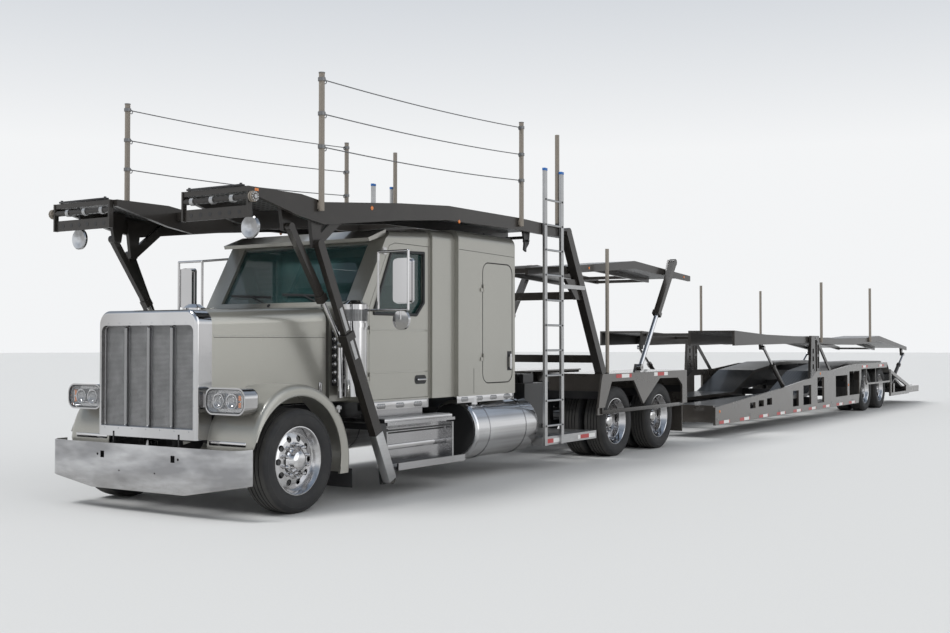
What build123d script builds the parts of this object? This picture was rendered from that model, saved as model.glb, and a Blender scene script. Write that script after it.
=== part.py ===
"""An articulated car transporter: a long-nose sleeper tractor with a deck over its cab and a deck
over its drive axles, and a low two-axle trailer with two tilting decks. Millimetres, +Z up.
+X is the lorry's left side and +Y points to its tail. A station is a distance behind the bumper's
face, so Y = station - LENGTH / 2 and the origin lies under the middle of the whole lorry.
"""

import os
from collections import namedtuple
from math import asin, cos, degrees, pi, sin

from build123d import *

os.makedirs("parts", exist_ok=True)

# Whole lorry
SIDE = 1295  # half the width over the trailer's side plates
RUN_CLEARANCE = 0.05  # radial play of a pin, shaft or rod in its bore
PANEL_GAP = 5  # gap round a door, hatch or lid
SEAT_GAP = 0.3  # gap between curved faces that lie against each other

# Wheels
TYRE_RADIUS = 465
TYRE_WIDTH = 282
RIM_RADIUS = 300
RIM_DROP = 262
STEER_WHEEL_X = 1075
DUAL_OUTER_X = 1092
DUAL_INNER_X = 768
HUB_RADIUS = 128
SPINDLE_RADIUS = 38
DISC_THICKNESS = 14
HAND_HOLES = 10
HAND_HOLE_RADIUS = 30
HAND_HOLE_CIRCLE = 205

# Axle stations
STEER_AXLE = 800
DRIVE_AXLES = (7100, 8480)
TRAILER_AXLES = (19550, 20800)
TAIL_OVERHANG = 3550
LENGTH = TRAILER_AXLES[1] + TAIL_OVERHANG
KINGPIN_X = 930
KINGPIN_RADIUS = 26

# Tractor frame
RAIL_X = 430
RAIL_WIDTH = 80
RAIL_TOP = 900
RAIL_BOTTOM = 660
RAIL_FRONT = 420
RAIL_REAR = 9330

# Cab and sleeper
CAB_X = 1050
CAB_BOTTOM = 930
CAB_BACK = 3020
CAB_ROOF = 2690
CAB_WALL = 60
COWL_X = 900
COWL_FRONT = 1560
SCREEN_FOOT = (1850, 1880)
SCREEN_HEAD = (2250, 2560)
DOOR_FRONT = 1985
DOOR_REAR = 2985
DOOR_BOTTOM = 950
DOOR_TOP = 2520
SILL = 1800
SLEEPER_X = 1130
NECK_X = 1080
SLEEPER_FRONT = 3440
SLEEPER_BACK = 4620
SLEEPER_ROOF = 2740
SLEEPER_WALL = 50
HATCH = (3930, 4560, 1060, 2410)  # front, rear, bottom, top
HATCH_CORNER = 110

# Hood and grille
HOOD_HINGE = (115, 680)
CROWN_FRONT = 100
CROWN_DEPTH = 180
CROWN_X = 640
CROWN_BOTTOM = 665
HOOD_FRONT_TOP = 1805
HOOD_REAR = 1510
HOOD_REAR_X = 900
HOOD_REAR_TOP = 1850
HOOD_SKIRT = 950
HOOD_WALL = 25
HOOD_CORNER = 130
FENDER_X = 1205
FENDER_WALL = 25
ARCH_RADIUS = 580

# Deck pivots and struts, as (station, height)
HEAD_HINGE = (5690, 2870)
MID_HINGE = (5905, 2420)
FRONT_HINGE = (15500, 1560)
REAR_HINGE = (15800, 1560)
TRAILER_PIVOT = (10000, 450)
PIN_RADIUS = 30

# Decks
RUNWAY_INNER = 420
HEAD_X = 1265
HEAD_DECK_SKIN = 30
MID_X = 1150
DECK_X = 1235  # half-width of both trailer decks


def at(station):
    """Y of a station."""
    return station - LENGTH / 2


def point(x, station, height):
    """A point from its offset, station and height."""
    return (x, at(station), height)


def block(x, s, z):
    """A box from its low and high offset, station and height."""
    size = Box(x[1] - x[0], s[1] - s[0], z[1] - z[0])
    return Pos((x[0] + x[1]) / 2, at((s[0] + s[1]) / 2), (z[0] + z[1]) / 2) * size


def outline(points):
    """A flat face from (station, height) points, in the lorry's side plane."""
    return make_face(Polyline(*[(at(s), z) for s, z in points], close=True))


def slab(points, x0, x1):
    """A side outline of (station, height) points, as thick as from x0 to x1."""
    return extrude(Plane.YZ.offset(x0) * outline(points), x1 - x0)


def bar(a, b, width, depth, x_dir=(1, 0, 0)):
    """A square-cut bar between two points, width along x_dir and depth across it."""
    run = Vector(*b) - Vector(*a)
    body = Box(width, depth, run.length, align=(Align.CENTER, Align.CENTER, Align.MIN))
    return Plane(origin=a, x_dir=x_dir, z_dir=run) * body


def rod(a, b, radius, bore=0):
    """A round bar between two points, or a tube where a bore is given."""
    run = Vector(*b) - Vector(*a)
    ends = (Align.CENTER, Align.CENTER, Align.MIN)
    body = Cylinder(radius, run.length, align=ends)
    if bore:
        body -= Cylinder(bore, run.length, align=ends)
    return Plane(origin=a, z_dir=run) * body


def cross_rod(where, x0, x1, radius, bore=0):
    """A round bar along X at a (station, height), or a tube where a bore is given."""
    return rod(point(x0, *where), point(x1, *where), radius, bore)


def both(shape):
    """A shape of the left side with its mirror image on the right."""
    return shape + mirror(shape, about=Plane.YZ)


def right(shape):
    """The mirror image of a shape of the left side."""
    return mirror(shape, about=Plane.YZ)


def along(a, b, share):
    """The (station, height) that lies a share of the way from a to b."""
    return (a[0] + (b[0] - a[0]) * share, a[1] + (b[1] - a[1]) * share)


def step(a, b, distance):
    """The (station, height) that lies a distance from a on the way to b."""
    length = ((b[0] - a[0]) ** 2 + (b[1] - a[1]) ** 2) ** 0.5
    return along(a, b, distance / length)


def write(node, shape):
    """Writes one sub-part to its own file."""
    export_step(shape, f"parts/{node}.step")


# Wheels


def ring(section, x):
    """A closed (x, radius) section turned about the X axis, then moved along it."""
    return Pos(x, 0, 0) * revolve(make_face(Polyline(*section, close=True)), axis=Axis.X)


def tyre(x):
    """One tyre with its rim's barrel, centred on x, as one closed ring."""
    half = TYRE_WIDTH / 2
    return ring(
        [
            (-half + 32, RIM_RADIUS),
            (-half, RIM_RADIUS + 72),
            (-half + 12, TYRE_RADIUS - 22),
            (-half + 34, TYRE_RADIUS),
            (half - 34, TYRE_RADIUS),
            (half - 12, TYRE_RADIUS - 22),
            (half, RIM_RADIUS + 72),
            (half - 32, RIM_RADIUS),
            (half - 52, RIM_DROP + 14),
            (half - 60, RIM_DROP),
            (-half + 60, RIM_DROP),
            (-half + 52, RIM_DROP + 14),
        ],
        x,
    )


def disc(x, holes=True):
    """A wheel disc with its hand holes, from the hub to the rim's drop."""
    inner, outer = HUB_RADIUS, RIM_DROP + 6
    body = ring([(0, inner), (0, outer), (DISC_THICKNESS, outer), (DISC_THICKNESS, inner)], x)
    if holes:
        for i in range(HAND_HOLES):
            turn = 2 * pi * i / HAND_HOLES
            y, z = HAND_HOLE_CIRCLE * cos(turn), HAND_HOLE_CIRCLE * sin(turn)
            body -= rod((x - 5, y, z), (x + DISC_THICKNESS + 5, y, z), HAND_HOLE_RADIUS)
    return body


def hub(x0, x1, cap):
    """A hub drum from x0 to x1 with its bore, and a cap that stands out by cap."""
    bore = SPINDLE_RADIUS + RUN_CLEARANCE
    floor = x1 + cap - 20
    return ring(
        [(x0, bore), (x0, HUB_RADIUS), (x1, HUB_RADIUS), (x1 + 6, 88), (x1 + cap - 12, 82),
         (x1 + cap, 62), (x1 + cap, 0), (floor, 0), (floor, bore)],
        0,
    )


def steer_wheel():
    """The left front wheel: tyre, convex disc and hub with its cover."""
    face = STEER_WHEEL_X + 42
    wheel = tyre(STEER_WHEEL_X) + disc(face) + hub(face - 92, face + DISC_THICKNESS, 78)
    return wheel


def dual_wheel():
    """A left twin wheel: two tyres on one hub, with the outer disc dished inwards."""
    outer_disc = DUAL_OUTER_X - 58
    inner_disc = DUAL_INNER_X + 44
    wheel = tyre(DUAL_OUTER_X) + tyre(DUAL_INNER_X)
    wheel += disc(outer_disc) + disc(inner_disc, holes=False)
    return wheel + hub(DUAL_INNER_X - 80, outer_disc + DISC_THICKNESS, 92)


STEER_SPINDLE_END = STEER_WHEEL_X + 42 + DISC_THICKNESS + 78 - 24
DUAL_SPINDLE_END = DUAL_OUTER_X - 58 + DISC_THICKNESS + 92 - 24


def wheels():
    """Every wheel at its axle, as (node, shape)."""
    stations = [("drive_1", DRIVE_AXLES[0]), ("drive_2", DRIVE_AXLES[1])]
    stations += [("trailer_1", TRAILER_AXLES[0]), ("trailer_2", TRAILER_AXLES[1])]
    kinds = [("steer", STEER_AXLE, steer_wheel())]
    twin = dual_wheel()
    kinds += [(name, station, twin) for name, station in stations]
    for name, station, shape in kinds:
        placed = Pos(0, at(station), TYRE_RADIUS) * shape
        write(f"wheel_{name}_left", placed)
        write(f"wheel_{name}_right", right(placed))


# Steering


def knuckle():
    """The left steering knuckle: a yoke on its kingpin, and the wheel's spindle."""
    eye, reach = 52, 60
    low, high = TYRE_RADIUS - 85, TYRE_RADIUS + 85
    lug = 34
    body = Part()
    for z0, z1 in ((low - lug, low - 1), (high + 1, high + lug)):
        body += Pos(KINGPIN_X, at(STEER_AXLE), (z0 + z1) / 2) * Cylinder(eye, z1 - z0)
        body += block((KINGPIN_X, KINGPIN_X + reach + 30), (STEER_AXLE - 40, STEER_AXLE + 40), (z0, z1))
    body += block((KINGPIN_X + reach, KINGPIN_X + reach + 30), (STEER_AXLE - 55, STEER_AXLE + 55),
                  (low - lug, high + lug))
    body += Pos(KINGPIN_X, at(STEER_AXLE), TYRE_RADIUS) * Cylinder(KINGPIN_RADIUS, high - low + 2 * lug)
    return body + cross_rod((STEER_AXLE, TYRE_RADIUS), KINGPIN_X + reach + 10, STEER_SPINDLE_END,
                            SPINDLE_RADIUS)


def front_axle():
    """The dropped steer axle with its kingpin eyes and leaf springs."""
    low, high = TYRE_RADIUS - 85, TYRE_RADIUS + 85
    beam_x, beam_low, beam_high = 700, 330, 430
    eye = Pos(KINGPIN_X, at(STEER_AXLE), TYRE_RADIUS) * Cylinder(50, high - low)
    half = block((0, beam_x), (STEER_AXLE - 45, STEER_AXLE + 45), (beam_low, beam_high))
    half += bar(point(beam_x - 30, STEER_AXLE, (beam_low + beam_high) / 2),
                point(KINGPIN_X, STEER_AXLE, TYRE_RADIUS), 90, 95, x_dir=(0, 1, 0))
    half += eye
    half -= Pos(KINGPIN_X, at(STEER_AXLE), TYRE_RADIUS) * Cylinder(KINGPIN_RADIUS + RUN_CLEARANCE, 400)
    spring_x = RAIL_X - RAIL_WIDTH / 2
    for reach, z in ((230, 585), (310, 600), (372, 615)):
        half += block((spring_x - 38, spring_x + 38), (STEER_AXLE - reach, STEER_AXLE + reach), (z, z + 15))
    half += block((spring_x - 38, spring_x + 38), (STEER_AXLE - 60, STEER_AXLE + 60), (beam_high, 585))
    for s in (STEER_AXLE - 372, STEER_AXLE + 312):
        half += block((spring_x - 38, spring_x + 38), (s, s + 60), (630, RAIL_BOTTOM))
    return both(half)


def axle(station, hanger_z):
    """A live axle: tube, differential, spindles and the air springs that carry the frame."""
    tube = cross_rod((station, TYRE_RADIUS), 0, DUAL_INNER_X - 110, 72)
    tube += cross_rod((station, TYRE_RADIUS), DUAL_INNER_X - 120, DUAL_SPINDLE_END, SPINDLE_RADIUS)
    spring_x = RAIL_X - RAIL_WIDTH / 2
    tube += block((spring_x - 55, spring_x + 55), (station - 420, station + 380),
                  (TYRE_RADIUS - 60, TYRE_RADIUS + 10))
    tube += rod(point(spring_x, station + 270, TYRE_RADIUS), point(spring_x, station + 270, hanger_z), 105)
    tube += block((spring_x - 40, spring_x + 40), (station - 420, station - 320),
                  (TYRE_RADIUS - 100, hanger_z))
    bowl = Pos(0, at(station), TYRE_RADIUS) * Sphere(190)
    return both(tube) + bowl


def drive_axles():
    """Both driven axles with the shaft that joins them."""
    body = axle(DRIVE_AXLES[0], RAIL_BOTTOM) + axle(DRIVE_AXLES[1], RAIL_BOTTOM)
    return body + rod(point(0, DRIVE_AXLES[0], 500), point(0, DRIVE_AXLES[1], 500), 45)


# Tractor frame


HORN_THICKNESS = 14
HORN_OUTLINE = [
    (12, 430), (12, 590), (280, 640), (368, 655), (368, RAIL_TOP), (RAIL_FRONT + 20, RAIL_TOP),
    (RAIL_FRONT, RAIL_BOTTOM), (330, 540), (220, 430),
]
HOOD_PIN_RADIUS = 12
HOOD_PIN_REACH = 40
CAB_MOUNTS = (1950, 2900, 3650, 4500)


def frame_rails():
    """Two channel rails with cross members, and the bumper's horns in front."""
    rail = block((RAIL_X - RAIL_WIDTH, RAIL_X), (RAIL_FRONT, RAIL_REAR), (RAIL_BOTTOM, RAIL_TOP))
    rail -= block((RAIL_X - RAIL_WIDTH - 1, RAIL_X - 14), (RAIL_FRONT - 1, RAIL_REAR + 1),
                  (RAIL_BOTTOM + 14, RAIL_TOP - 14))
    rail += slab(HORN_OUTLINE, RAIL_X - HORN_THICKNESS, RAIL_X)
    s, z = HOOD_HINGE
    rail += slab([(s - 18, 580), (s + 45, 580), (s + 18, z), (s - 18, z)], RAIL_X - HORN_THICKNESS, RAIL_X)
    rail += cross_rod(HOOD_HINGE, RAIL_X - HORN_THICKNESS, RAIL_X, 18)
    middle = RAIL_X - HORN_THICKNESS / 2
    rail += cross_rod(HOOD_HINGE, middle - HOOD_PIN_REACH, middle + HOOD_PIN_REACH, HOOD_PIN_RADIUS)
    for station in CAB_MOUNTS:
        rail += block((RAIL_X - RAIL_WIDTH, RAIL_X), (station - 50, station + 50), (RAIL_TOP, CAB_BOTTOM))
    frame = both(rail)
    inner = RAIL_X - 14
    for station in (RAIL_FRONT + 60, 2600, 4200, 5700, 6560, 7790, 9250):
        frame += block((-inner, inner), (station - 40, station + 40), (RAIL_BOTTOM + 40, RAIL_TOP - 40))
    return frame


def outriggers():
    """Beams across the frame that carry the cab's steps, the fenders and the rear legs."""
    body = Part()
    for station in (6560, 7790, 9250):
        arm_z = (RAIL_TOP - 120, RAIL_TOP - 20)
        half = block((RAIL_X, FENDER_SIDE - 30), (station - 35, station + 35), arm_z)
        body += both(half)
    return body


def engine():
    """The engine as one plain block, with the radiator behind the grille."""
    flange_x = RAIL_X - RAIL_WIDTH
    body = block((20 - flange_x, flange_x - 20), (560, 1520), (600, 1480))
    body += block((-flange_x, flange_x), (1180, 1280), (RAIL_TOP - 40, RAIL_TOP))
    return body + block((-CROWN_X + 130, CROWN_X - 130), (410, 470), (RAIL_TOP, 1600))


# Front bumper
BUMPER_X = 1210
BUMPER_WALL = 12
BUMPER_TOP = 610
BUMPER_BOTTOM = 200
BUMPER_END_BOTTOM = 300
BUMPER_FLAT = 600  # half the width over which its lower edge is level
BUMPER_WRAP = 200
BUMPER_CORNER = 130
TOW_SLOT_X = 456
TOW_SLOT = (50, 60)
TOW_SLOT_Z = 505
TOW_HOLE = (521, 505, 12)  # offset, height and radius
PLATE_HOLE = (230, 370, 8)


def bumper():
    """The polished bumper: a wrapped sheet whose lower edge rises to its ends."""
    width, depth = 2 * BUMPER_X, 2 * BUMPER_WRAP
    plan = Pos(0, at(BUMPER_WRAP)) * RectangleRounded(width, depth, BUMPER_CORNER)
    plan -= Pos(0, at(BUMPER_WRAP)) * RectangleRounded(
        width - 2 * BUMPER_WALL, depth - 2 * BUMPER_WALL, BUMPER_CORNER - BUMPER_WALL)
    sheet = Pos(0, 0, BUMPER_BOTTOM) * extrude(plan, BUMPER_TOP - BUMPER_BOTTOM)
    sheet -= block((-width, width), (BUMPER_WRAP, 3 * BUMPER_WRAP), (0, 2 * BUMPER_TOP))
    wedge = Polyline((BUMPER_FLAT, 0), (BUMPER_X + 1, 0), (BUMPER_X + 1, BUMPER_END_BOTTOM),
                     (BUMPER_FLAT, BUMPER_BOTTOM), close=True)
    cut = extrude(Plane.XZ.offset(-at(BUMPER_WRAP) - 1) * make_face(wedge), BUMPER_WRAP + 5)
    sheet -= both(cut)
    holes = block((TOW_SLOT_X - TOW_SLOT[0] / 2, TOW_SLOT_X + TOW_SLOT[0] / 2), (-5, BUMPER_WALL + 5),
                  (TOW_SLOT_Z - TOW_SLOT[1] / 2, TOW_SLOT_Z + TOW_SLOT[1] / 2))
    for x, z, radius in (TOW_HOLE, PLATE_HOLE):
        holes += rod(point(x, -5, z), point(x, BUMPER_WALL + 5, z), radius)
    return sheet - both(holes)


# Cab


def cab_outline(inset):
    """The cab's side outline, drawn in by a wall."""
    screen = (SCREEN_FOOT[0] + inset, SCREEN_FOOT[1] - inset * 0.4)
    head = (SCREEN_HEAD[0] + inset, SCREEN_HEAD[1])
    return [
        (SCREEN_FOOT[0] + inset, CAB_BOTTOM + inset),
        screen,
        head,
        (SCREEN_HEAD[0] + 130 + inset * 0.5, CAB_ROOF - 40 - inset),
        (CAB_BACK - inset, CAB_ROOF - inset),
        (CAB_BACK - inset, CAB_BOTTOM + inset),
    ]


HINGE_RADIUS = 10
HINGE_PIN_RADIUS = 6
HINGE_LEAF = 55
HINGE_HEIGHT = 40
DOOR_HINGES = (1180, 1640)
HATCH_HINGES = (1350, 2120)


def hinge_pins(face_x, station, heights):
    """The fixed halves of a panel's hinges: a leaf before its front edge, a knuckle and a pin."""
    x = face_x + HINGE_RADIUS + 1
    body = Part()
    for z in heights:
        body += block((face_x, x), (station - HINGE_LEAF, station - PANEL_GAP - 1), (z - HINGE_HEIGHT, z))
        body += Pos(x, at(station), z - HINGE_HEIGHT / 2) * Cylinder(HINGE_RADIUS, HINGE_HEIGHT)
        body += Pos(x, at(station), z) * Cylinder(HINGE_PIN_RADIUS, 2 * HINGE_HEIGHT)
    return body


def hinge_knuckles(face_x, station, heights):
    """The panel's halves of its hinges, each a leaf and a knuckle that turns on the pin."""
    x = face_x + HINGE_RADIUS + 1
    body = Part()
    for z in heights:
        middle = z + HINGE_HEIGHT / 2 + 1
        body += Pos(x, at(station), middle) * Cylinder(HINGE_RADIUS, HINGE_HEIGHT)
        body += block((face_x, x), (station, station + HINGE_LEAF), (z + 1, z + 1 + HINGE_HEIGHT))
        body -= Pos(x, at(station), middle) * Cylinder(HINGE_PIN_RADIUS + RUN_CLEARANCE, 2 * HINGE_HEIGHT)
    return body


DOOR_OUTLINE = [
    (DOOR_FRONT, DOOR_BOTTOM),
    (DOOR_FRONT, SILL + 60),
    (DOOR_FRONT + 325, DOOR_TOP - 30),
    (DOOR_FRONT + 420, DOOR_TOP),
    (DOOR_REAR, DOOR_TOP),
    (DOOR_REAR, DOOR_BOTTOM),
]


def grown(points, gap):
    """An outline of the door grown by a gap on every side."""
    return offset(outline(points), gap, kind=Kind.INTERSECTION)


def cab_shell():
    """The cab's hollow shell with its cowl, door openings, screen opening, doorway and visor."""
    shell = slab(cab_outline(0), -CAB_X, CAB_X)
    shell = fillet(shell.edges().filter_by(lambda e: e.center().Z > CAB_ROOF - 60
                                           and abs(abs(e.center().X) - CAB_X) < 1), 90)
    shell -= slab(cab_outline(CAB_WALL), -CAB_X + CAB_WALL, CAB_X - CAB_WALL)
    cowl_outline = [(COWL_FRONT, CAB_BOTTOM + 20), (COWL_FRONT, HOOD_REAR_TOP - 10),
                    (SCREEN_FOOT[0], SCREEN_FOOT[1]), (SCREEN_FOOT[0], CAB_BOTTOM + 20)]
    shell += slab(cowl_outline, -COWL_X, COWL_X)
    opening = grown(DOOR_OUTLINE, PANEL_GAP)
    shell -= both(extrude(Plane.YZ.offset(CAB_X - CAB_WALL - 1) * opening, CAB_WALL + 2))
    shell += both(hinge_pins(CAB_X, DOOR_FRONT, DOOR_HINGES))
    shell -= screen_slab(0, 200)
    shell -= block((-DOORWAY_X, DOORWAY_X), (CAB_BACK - CAB_WALL - 1, CAB_BACK + 1), DOORWAY_Z)
    return shell + visor()


SCREEN_X = 850
SCREEN_MARGIN = 45
GLASS = 8
DOORWAY_X = 550
DOORWAY_Z = (CAB_BOTTOM + CAB_WALL, 2450)


def screen_slab(grow, thickness):
    """A slab in the slope of the windscreen, centred on the shell's front wall."""
    foot = step(SCREEN_FOOT, SCREEN_HEAD, SCREEN_MARGIN)
    head = step(SCREEN_HEAD, SCREEN_FOOT, SCREEN_MARGIN)
    middle = 30
    return bar(point(0, foot[0] + middle, foot[1] - middle * 0.6),
               point(0, head[0] + middle, head[1] - middle * 0.6), 2 * SCREEN_X + 2 * grow, thickness)


def visor():
    """The sun visor over the windscreen, open underneath."""
    sheet = [(SCREEN_HEAD[0] - 190, 2520), (SCREEN_HEAD[0] - 205, 2555), (SCREEN_HEAD[0] + 80, 2660),
             (SCREEN_HEAD[0] + 80, 2600)]
    return slab(sheet, -CAB_X + 60, CAB_X - 60)


def door():
    """The left door with its window cut through."""
    panel = extrude(Plane.YZ.offset(CAB_X - CAB_WALL) * outline(DOOR_OUTLINE), CAB_WALL)
    panel -= extrude(Plane.YZ.offset(CAB_X - CAB_WALL - 1) * outline(WINDOW_OUTLINE), CAB_WALL + 2)
    return panel + hinge_knuckles(CAB_X, DOOR_FRONT, DOOR_HINGES)


WINDOW_OUTLINE = [
    (DOOR_FRONT + 75, SILL + 30),
    (DOOR_FRONT + 355, DOOR_TOP - 90),
    (DOOR_REAR - 85, DOOR_TOP - 70),
    (DOOR_REAR - 85, SILL + 130),
    (DOOR_REAR - 215, SILL),
    (DOOR_FRONT + 75, SILL),
]


def door_glass():
    """The left door's window pane."""
    middle = CAB_X - CAB_WALL / 2
    return extrude(Plane.YZ.offset(middle - GLASS / 2) * outline(WINDOW_OUTLINE), GLASS)


def sleeper_shell():
    """The sleeper and the neck that joins it to the cab, hollow, with its side hatches cut."""
    neck = block((-NECK_X, NECK_X), (CAB_BACK, SLEEPER_FRONT + 1), (CAB_BOTTOM, SLEEPER_ROOF - 25))
    box = block((-SLEEPER_X, SLEEPER_X), (SLEEPER_FRONT, SLEEPER_BACK), (CAB_BOTTOM, SLEEPER_ROOF))
    body = neck + box
    edges = body.edges().filter_by(lambda e: e.length > 300 and e.center().Z > SLEEPER_ROOF - 60
                                   and abs(e.center().X) > NECK_X - 5)
    body = fillet(edges, 110)
    wall = SLEEPER_WALL
    body -= block((-NECK_X + wall, NECK_X - wall), (CAB_BACK + wall, SLEEPER_FRONT + wall + 1),
                  (CAB_BOTTOM + wall, SLEEPER_ROOF - 25 - 2 * wall))
    body -= block((-SLEEPER_X + wall, SLEEPER_X - wall), (SLEEPER_FRONT + wall, SLEEPER_BACK - wall),
                  (CAB_BOTTOM + wall, SLEEPER_ROOF - 2 * wall))
    body -= block((-DOORWAY_X, DOORWAY_X), (CAB_BACK - 1, CAB_BACK + wall + 1), DOORWAY_Z)
    hole = hatch_slab(PANEL_GAP, SLEEPER_X - wall - 1, SLEEPER_X + 1)
    return body - both(hole) + both(hinge_pins(SLEEPER_X, HATCH[0], HATCH_HINGES))


def hatch_slab(grow, x0, x1):
    """The rounded outline of the sleeper's hatch, grown by a gap, from x0 to x1."""
    front, rear, bottom, top = HATCH
    face = RectangleRounded(rear - front + 2 * grow, top - bottom + 2 * grow, HATCH_CORNER + grow)
    centre = Pos(at((front + rear) / 2), (bottom + top) / 2)
    return extrude(Plane.YZ.offset(x0) * (centre * face), x1 - x0)


def hatch():
    """The left sleeper hatch with the lever at its rear edge."""
    panel = hatch_slab(0, SLEEPER_X - SLEEPER_WALL, SLEEPER_X)
    lever = block((SLEEPER_X, SLEEPER_X + 22), (HATCH[1] - 90, HATCH[1] - 35), (1230, 1350))
    return panel + lever + hinge_knuckles(SLEEPER_X, HATCH[0], HATCH_HINGES)


def windscreen():
    """The windscreen's pane, seated in its opening."""
    return screen_slab(0, GLASS)


def cab_interior():
    """Seats, dash, steering wheel and bunk, standing on the floors."""
    floor = CAB_BOTTOM + CAB_WALL
    body = Part()
    for x in (-520, 520):
        body += block((x - 130, x + 130), (2540, 2800), (floor, floor + 320))
        body += block((x - 250, x + 250), (2420, 2900), (floor + 320, floor + 440))
        body += slab([(2800, floor + 440), (2780, floor + 470), (2860, floor + 1130), (2940, floor + 1120),
                      (2900, floor + 440)], x - 240, x + 240)
    inside = CAB_X - CAB_WALL - 12
    body += slab([(SCREEN_FOOT[0] + CAB_WALL, floor), (SCREEN_FOOT[0] + CAB_WALL, 1790), (2080, 1800),
                  (2180, 1730), (2160, 1420), (1990, 1300), (1960, floor)], -inside, inside)
    column = (point(520, 2150, 1500), point(520, 2330, 1640))
    body += rod(*column, 30)
    wheel = Plane(origin=column[1], z_dir=Vector(*column[1]) - Vector(*column[0]))
    body += wheel * (Torus(225, 16) + Box(440, 40, 14) + Cylinder(60, 24))
    bunk = SLEEPER_BACK - SLEEPER_WALL
    body += block((-900, 900), (bunk - 760, bunk), (CAB_BOTTOM + SLEEPER_WALL, 1500))
    return body


# Hood, fenders, grille and lamps


def hood_section(station, half_width, top, skirt, corner, inset):
    """A hood section at a station: straight sides and a top with round corners."""
    x, z = half_width - inset, top - inset
    r = corner - inset
    low = Polyline((-x, z - r), (-x, skirt), (x, skirt), (x, z - r))
    arc_right = CenterArc((x - r, z - r), r, 0, 90)
    arc_left = CenterArc((-x + r, z - r), r, 90, 90)
    roof = Line((x - r, z), (-x + r, z))
    face = make_face(low + arc_right + roof + arc_left)
    return Plane(origin=(0, at(station), 0), x_dir=(1, 0, 0), z_dir=(0, -1, 0)) * face


def hood_solid(inset, front, rear, skirt):
    """The hood's outer form between the crown and the cowl, drawn in by a wall."""
    return loft([
        hood_section(front, CROWN_X, HOOD_FRONT_TOP, skirt, HOOD_CORNER, inset),
        hood_section(rear, HOOD_REAR_X, HOOD_REAR_TOP, skirt, HOOD_CORNER, inset),
    ], ruled=True)


CROWN_REAR = CROWN_FRONT + CROWN_DEPTH
CROWN_SIDE_BORDER = 45
CROWN_TOP_BORDER = 135
CROWN_FOOT_BORDER = 90
CROWN_OPENING_CORNER = 60
CROWN_ROUND = 30


def hood_shell():
    """The hood's hollow skin, open below and behind."""
    skin = hood_solid(0, CROWN_REAR, HOOD_REAR, HOOD_SKIRT)
    return skin - hood_solid(HOOD_WALL, CROWN_REAR, HOOD_REAR, HOOD_SKIRT - 60)


def grille_crown():
    """The polished grille surround: a deep frame with round upper corners."""
    form = hood_section(CROWN_FRONT, CROWN_X, HOOD_FRONT_TOP, CROWN_BOTTOM, HOOD_CORNER, 0)
    shell = extrude(form, -CROWN_DEPTH)
    shell = fillet(shell.edges().filter_by(lambda e: abs(e.center().Y - at(CROWN_FRONT)) < 1
                                           and e.center().Z > CROWN_BOTTOM + 5), CROWN_ROUND)
    opening = hood_section(CROWN_FRONT, CROWN_X - CROWN_SIDE_BORDER, HOOD_FRONT_TOP - CROWN_TOP_BORDER,
                           CROWN_BOTTOM + CROWN_FOOT_BORDER, CROWN_OPENING_CORNER, 0)
    shell -= extrude(opening, -CROWN_DEPTH)
    x = RAIL_X - HORN_THICKNESS / 2
    half = HORN_THICKNESS / 2 + PANEL_GAP
    s, z = HOOD_HINGE
    slot = block((x - half, x + half), (CROWN_FRONT - 1, s + 40), (CROWN_BOTTOM - 1, z + 30))
    slot += cross_rod(HOOD_HINGE, x - HOOD_PIN_REACH - 5, x + HOOD_PIN_REACH + 5,
                      HOOD_PIN_RADIUS + RUN_CLEARANCE)
    return shell - both(slot)


GRILLE_SLOT = (205, 40)
GRILLE_PITCH = 75


def grille():
    """The grille's mesh panel with three upright bars before it."""
    half = CROWN_X - CROWN_SIDE_BORDER
    low = CROWN_BOTTOM + CROWN_FOOT_BORDER
    high = HOOD_FRONT_TOP - CROWN_TOP_BORDER
    corner = CROWN_OPENING_CORNER
    face = Pos(0, (low + high) / 2) * RectangleRounded(2 * half, high - low, corner)
    face += Pos(0, low + corner) * Rectangle(2 * half, 2 * corner)
    rows = int((high - low - 60) / GRILLE_PITCH)
    for i in range(rows):
        z = low + 60 + i * GRILLE_PITCH
        for share in (-0.75, -0.25, 0.25, 0.75):
            face -= Pos(share * half, z) * Rectangle(*GRILLE_SLOT)
    plane = Plane(origin=(0, at(CROWN_FRONT + 60), 0), x_dir=(1, 0, 0), z_dir=(0, -1, 0))
    panel = extrude(plane * face, -12)
    for x in (-half / 2, 0, half / 2):
        panel += block((x - 22, x + 22), (CROWN_FRONT + 15, CROWN_FRONT + 60), (low, high))
    return panel


FENDER_CREST = 1145
FENDER_FRONT_CURVE = 576  # radius of its side outline ahead of the crest
FENDER_REAR_CURVE = 725
FENDER_FEET = (FENDER_CREST - FENDER_FRONT_CURVE, 300)  # heights of its front and rear foot
FENDER_INNER_X = 560
FENDER_ROUND = 55


def fender():
    """The left fender: a crowned skin round the wheel, open underneath."""
    inner = FENDER_INNER_X
    body = extrude(Plane.YZ.offset(inner) * fender_face(0, 250, *FENDER_FEET), FENDER_X - inner)
    edges = body.edges().filter_by(lambda e: abs(e.center().X - FENDER_X) < 1 and e.center().Z > 700)
    body = fillet(edges, FENDER_ROUND)
    hollow = fender_face(FENDER_WALL, 300, FENDER_FEET[0] - 50, FENDER_FEET[1] - 50)
    body -= extrude(Plane.YZ.offset(inner - 1) * hollow, FENDER_X - FENDER_WALL - inner + 1)
    arch = cross_rod((STEER_AXLE, TYRE_RADIUS), inner - 1, FENDER_X + 1, ARCH_RADIUS)
    body -= arch
    body -= hood_solid(0, CROWN_REAR, HOOD_REAR, 0)
    body -= block((0, CROWN_X), (CROWN_FRONT, CROWN_REAR + 1), (0, HOOD_FRONT_TOP))
    return body - lamp_pod(2)


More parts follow.
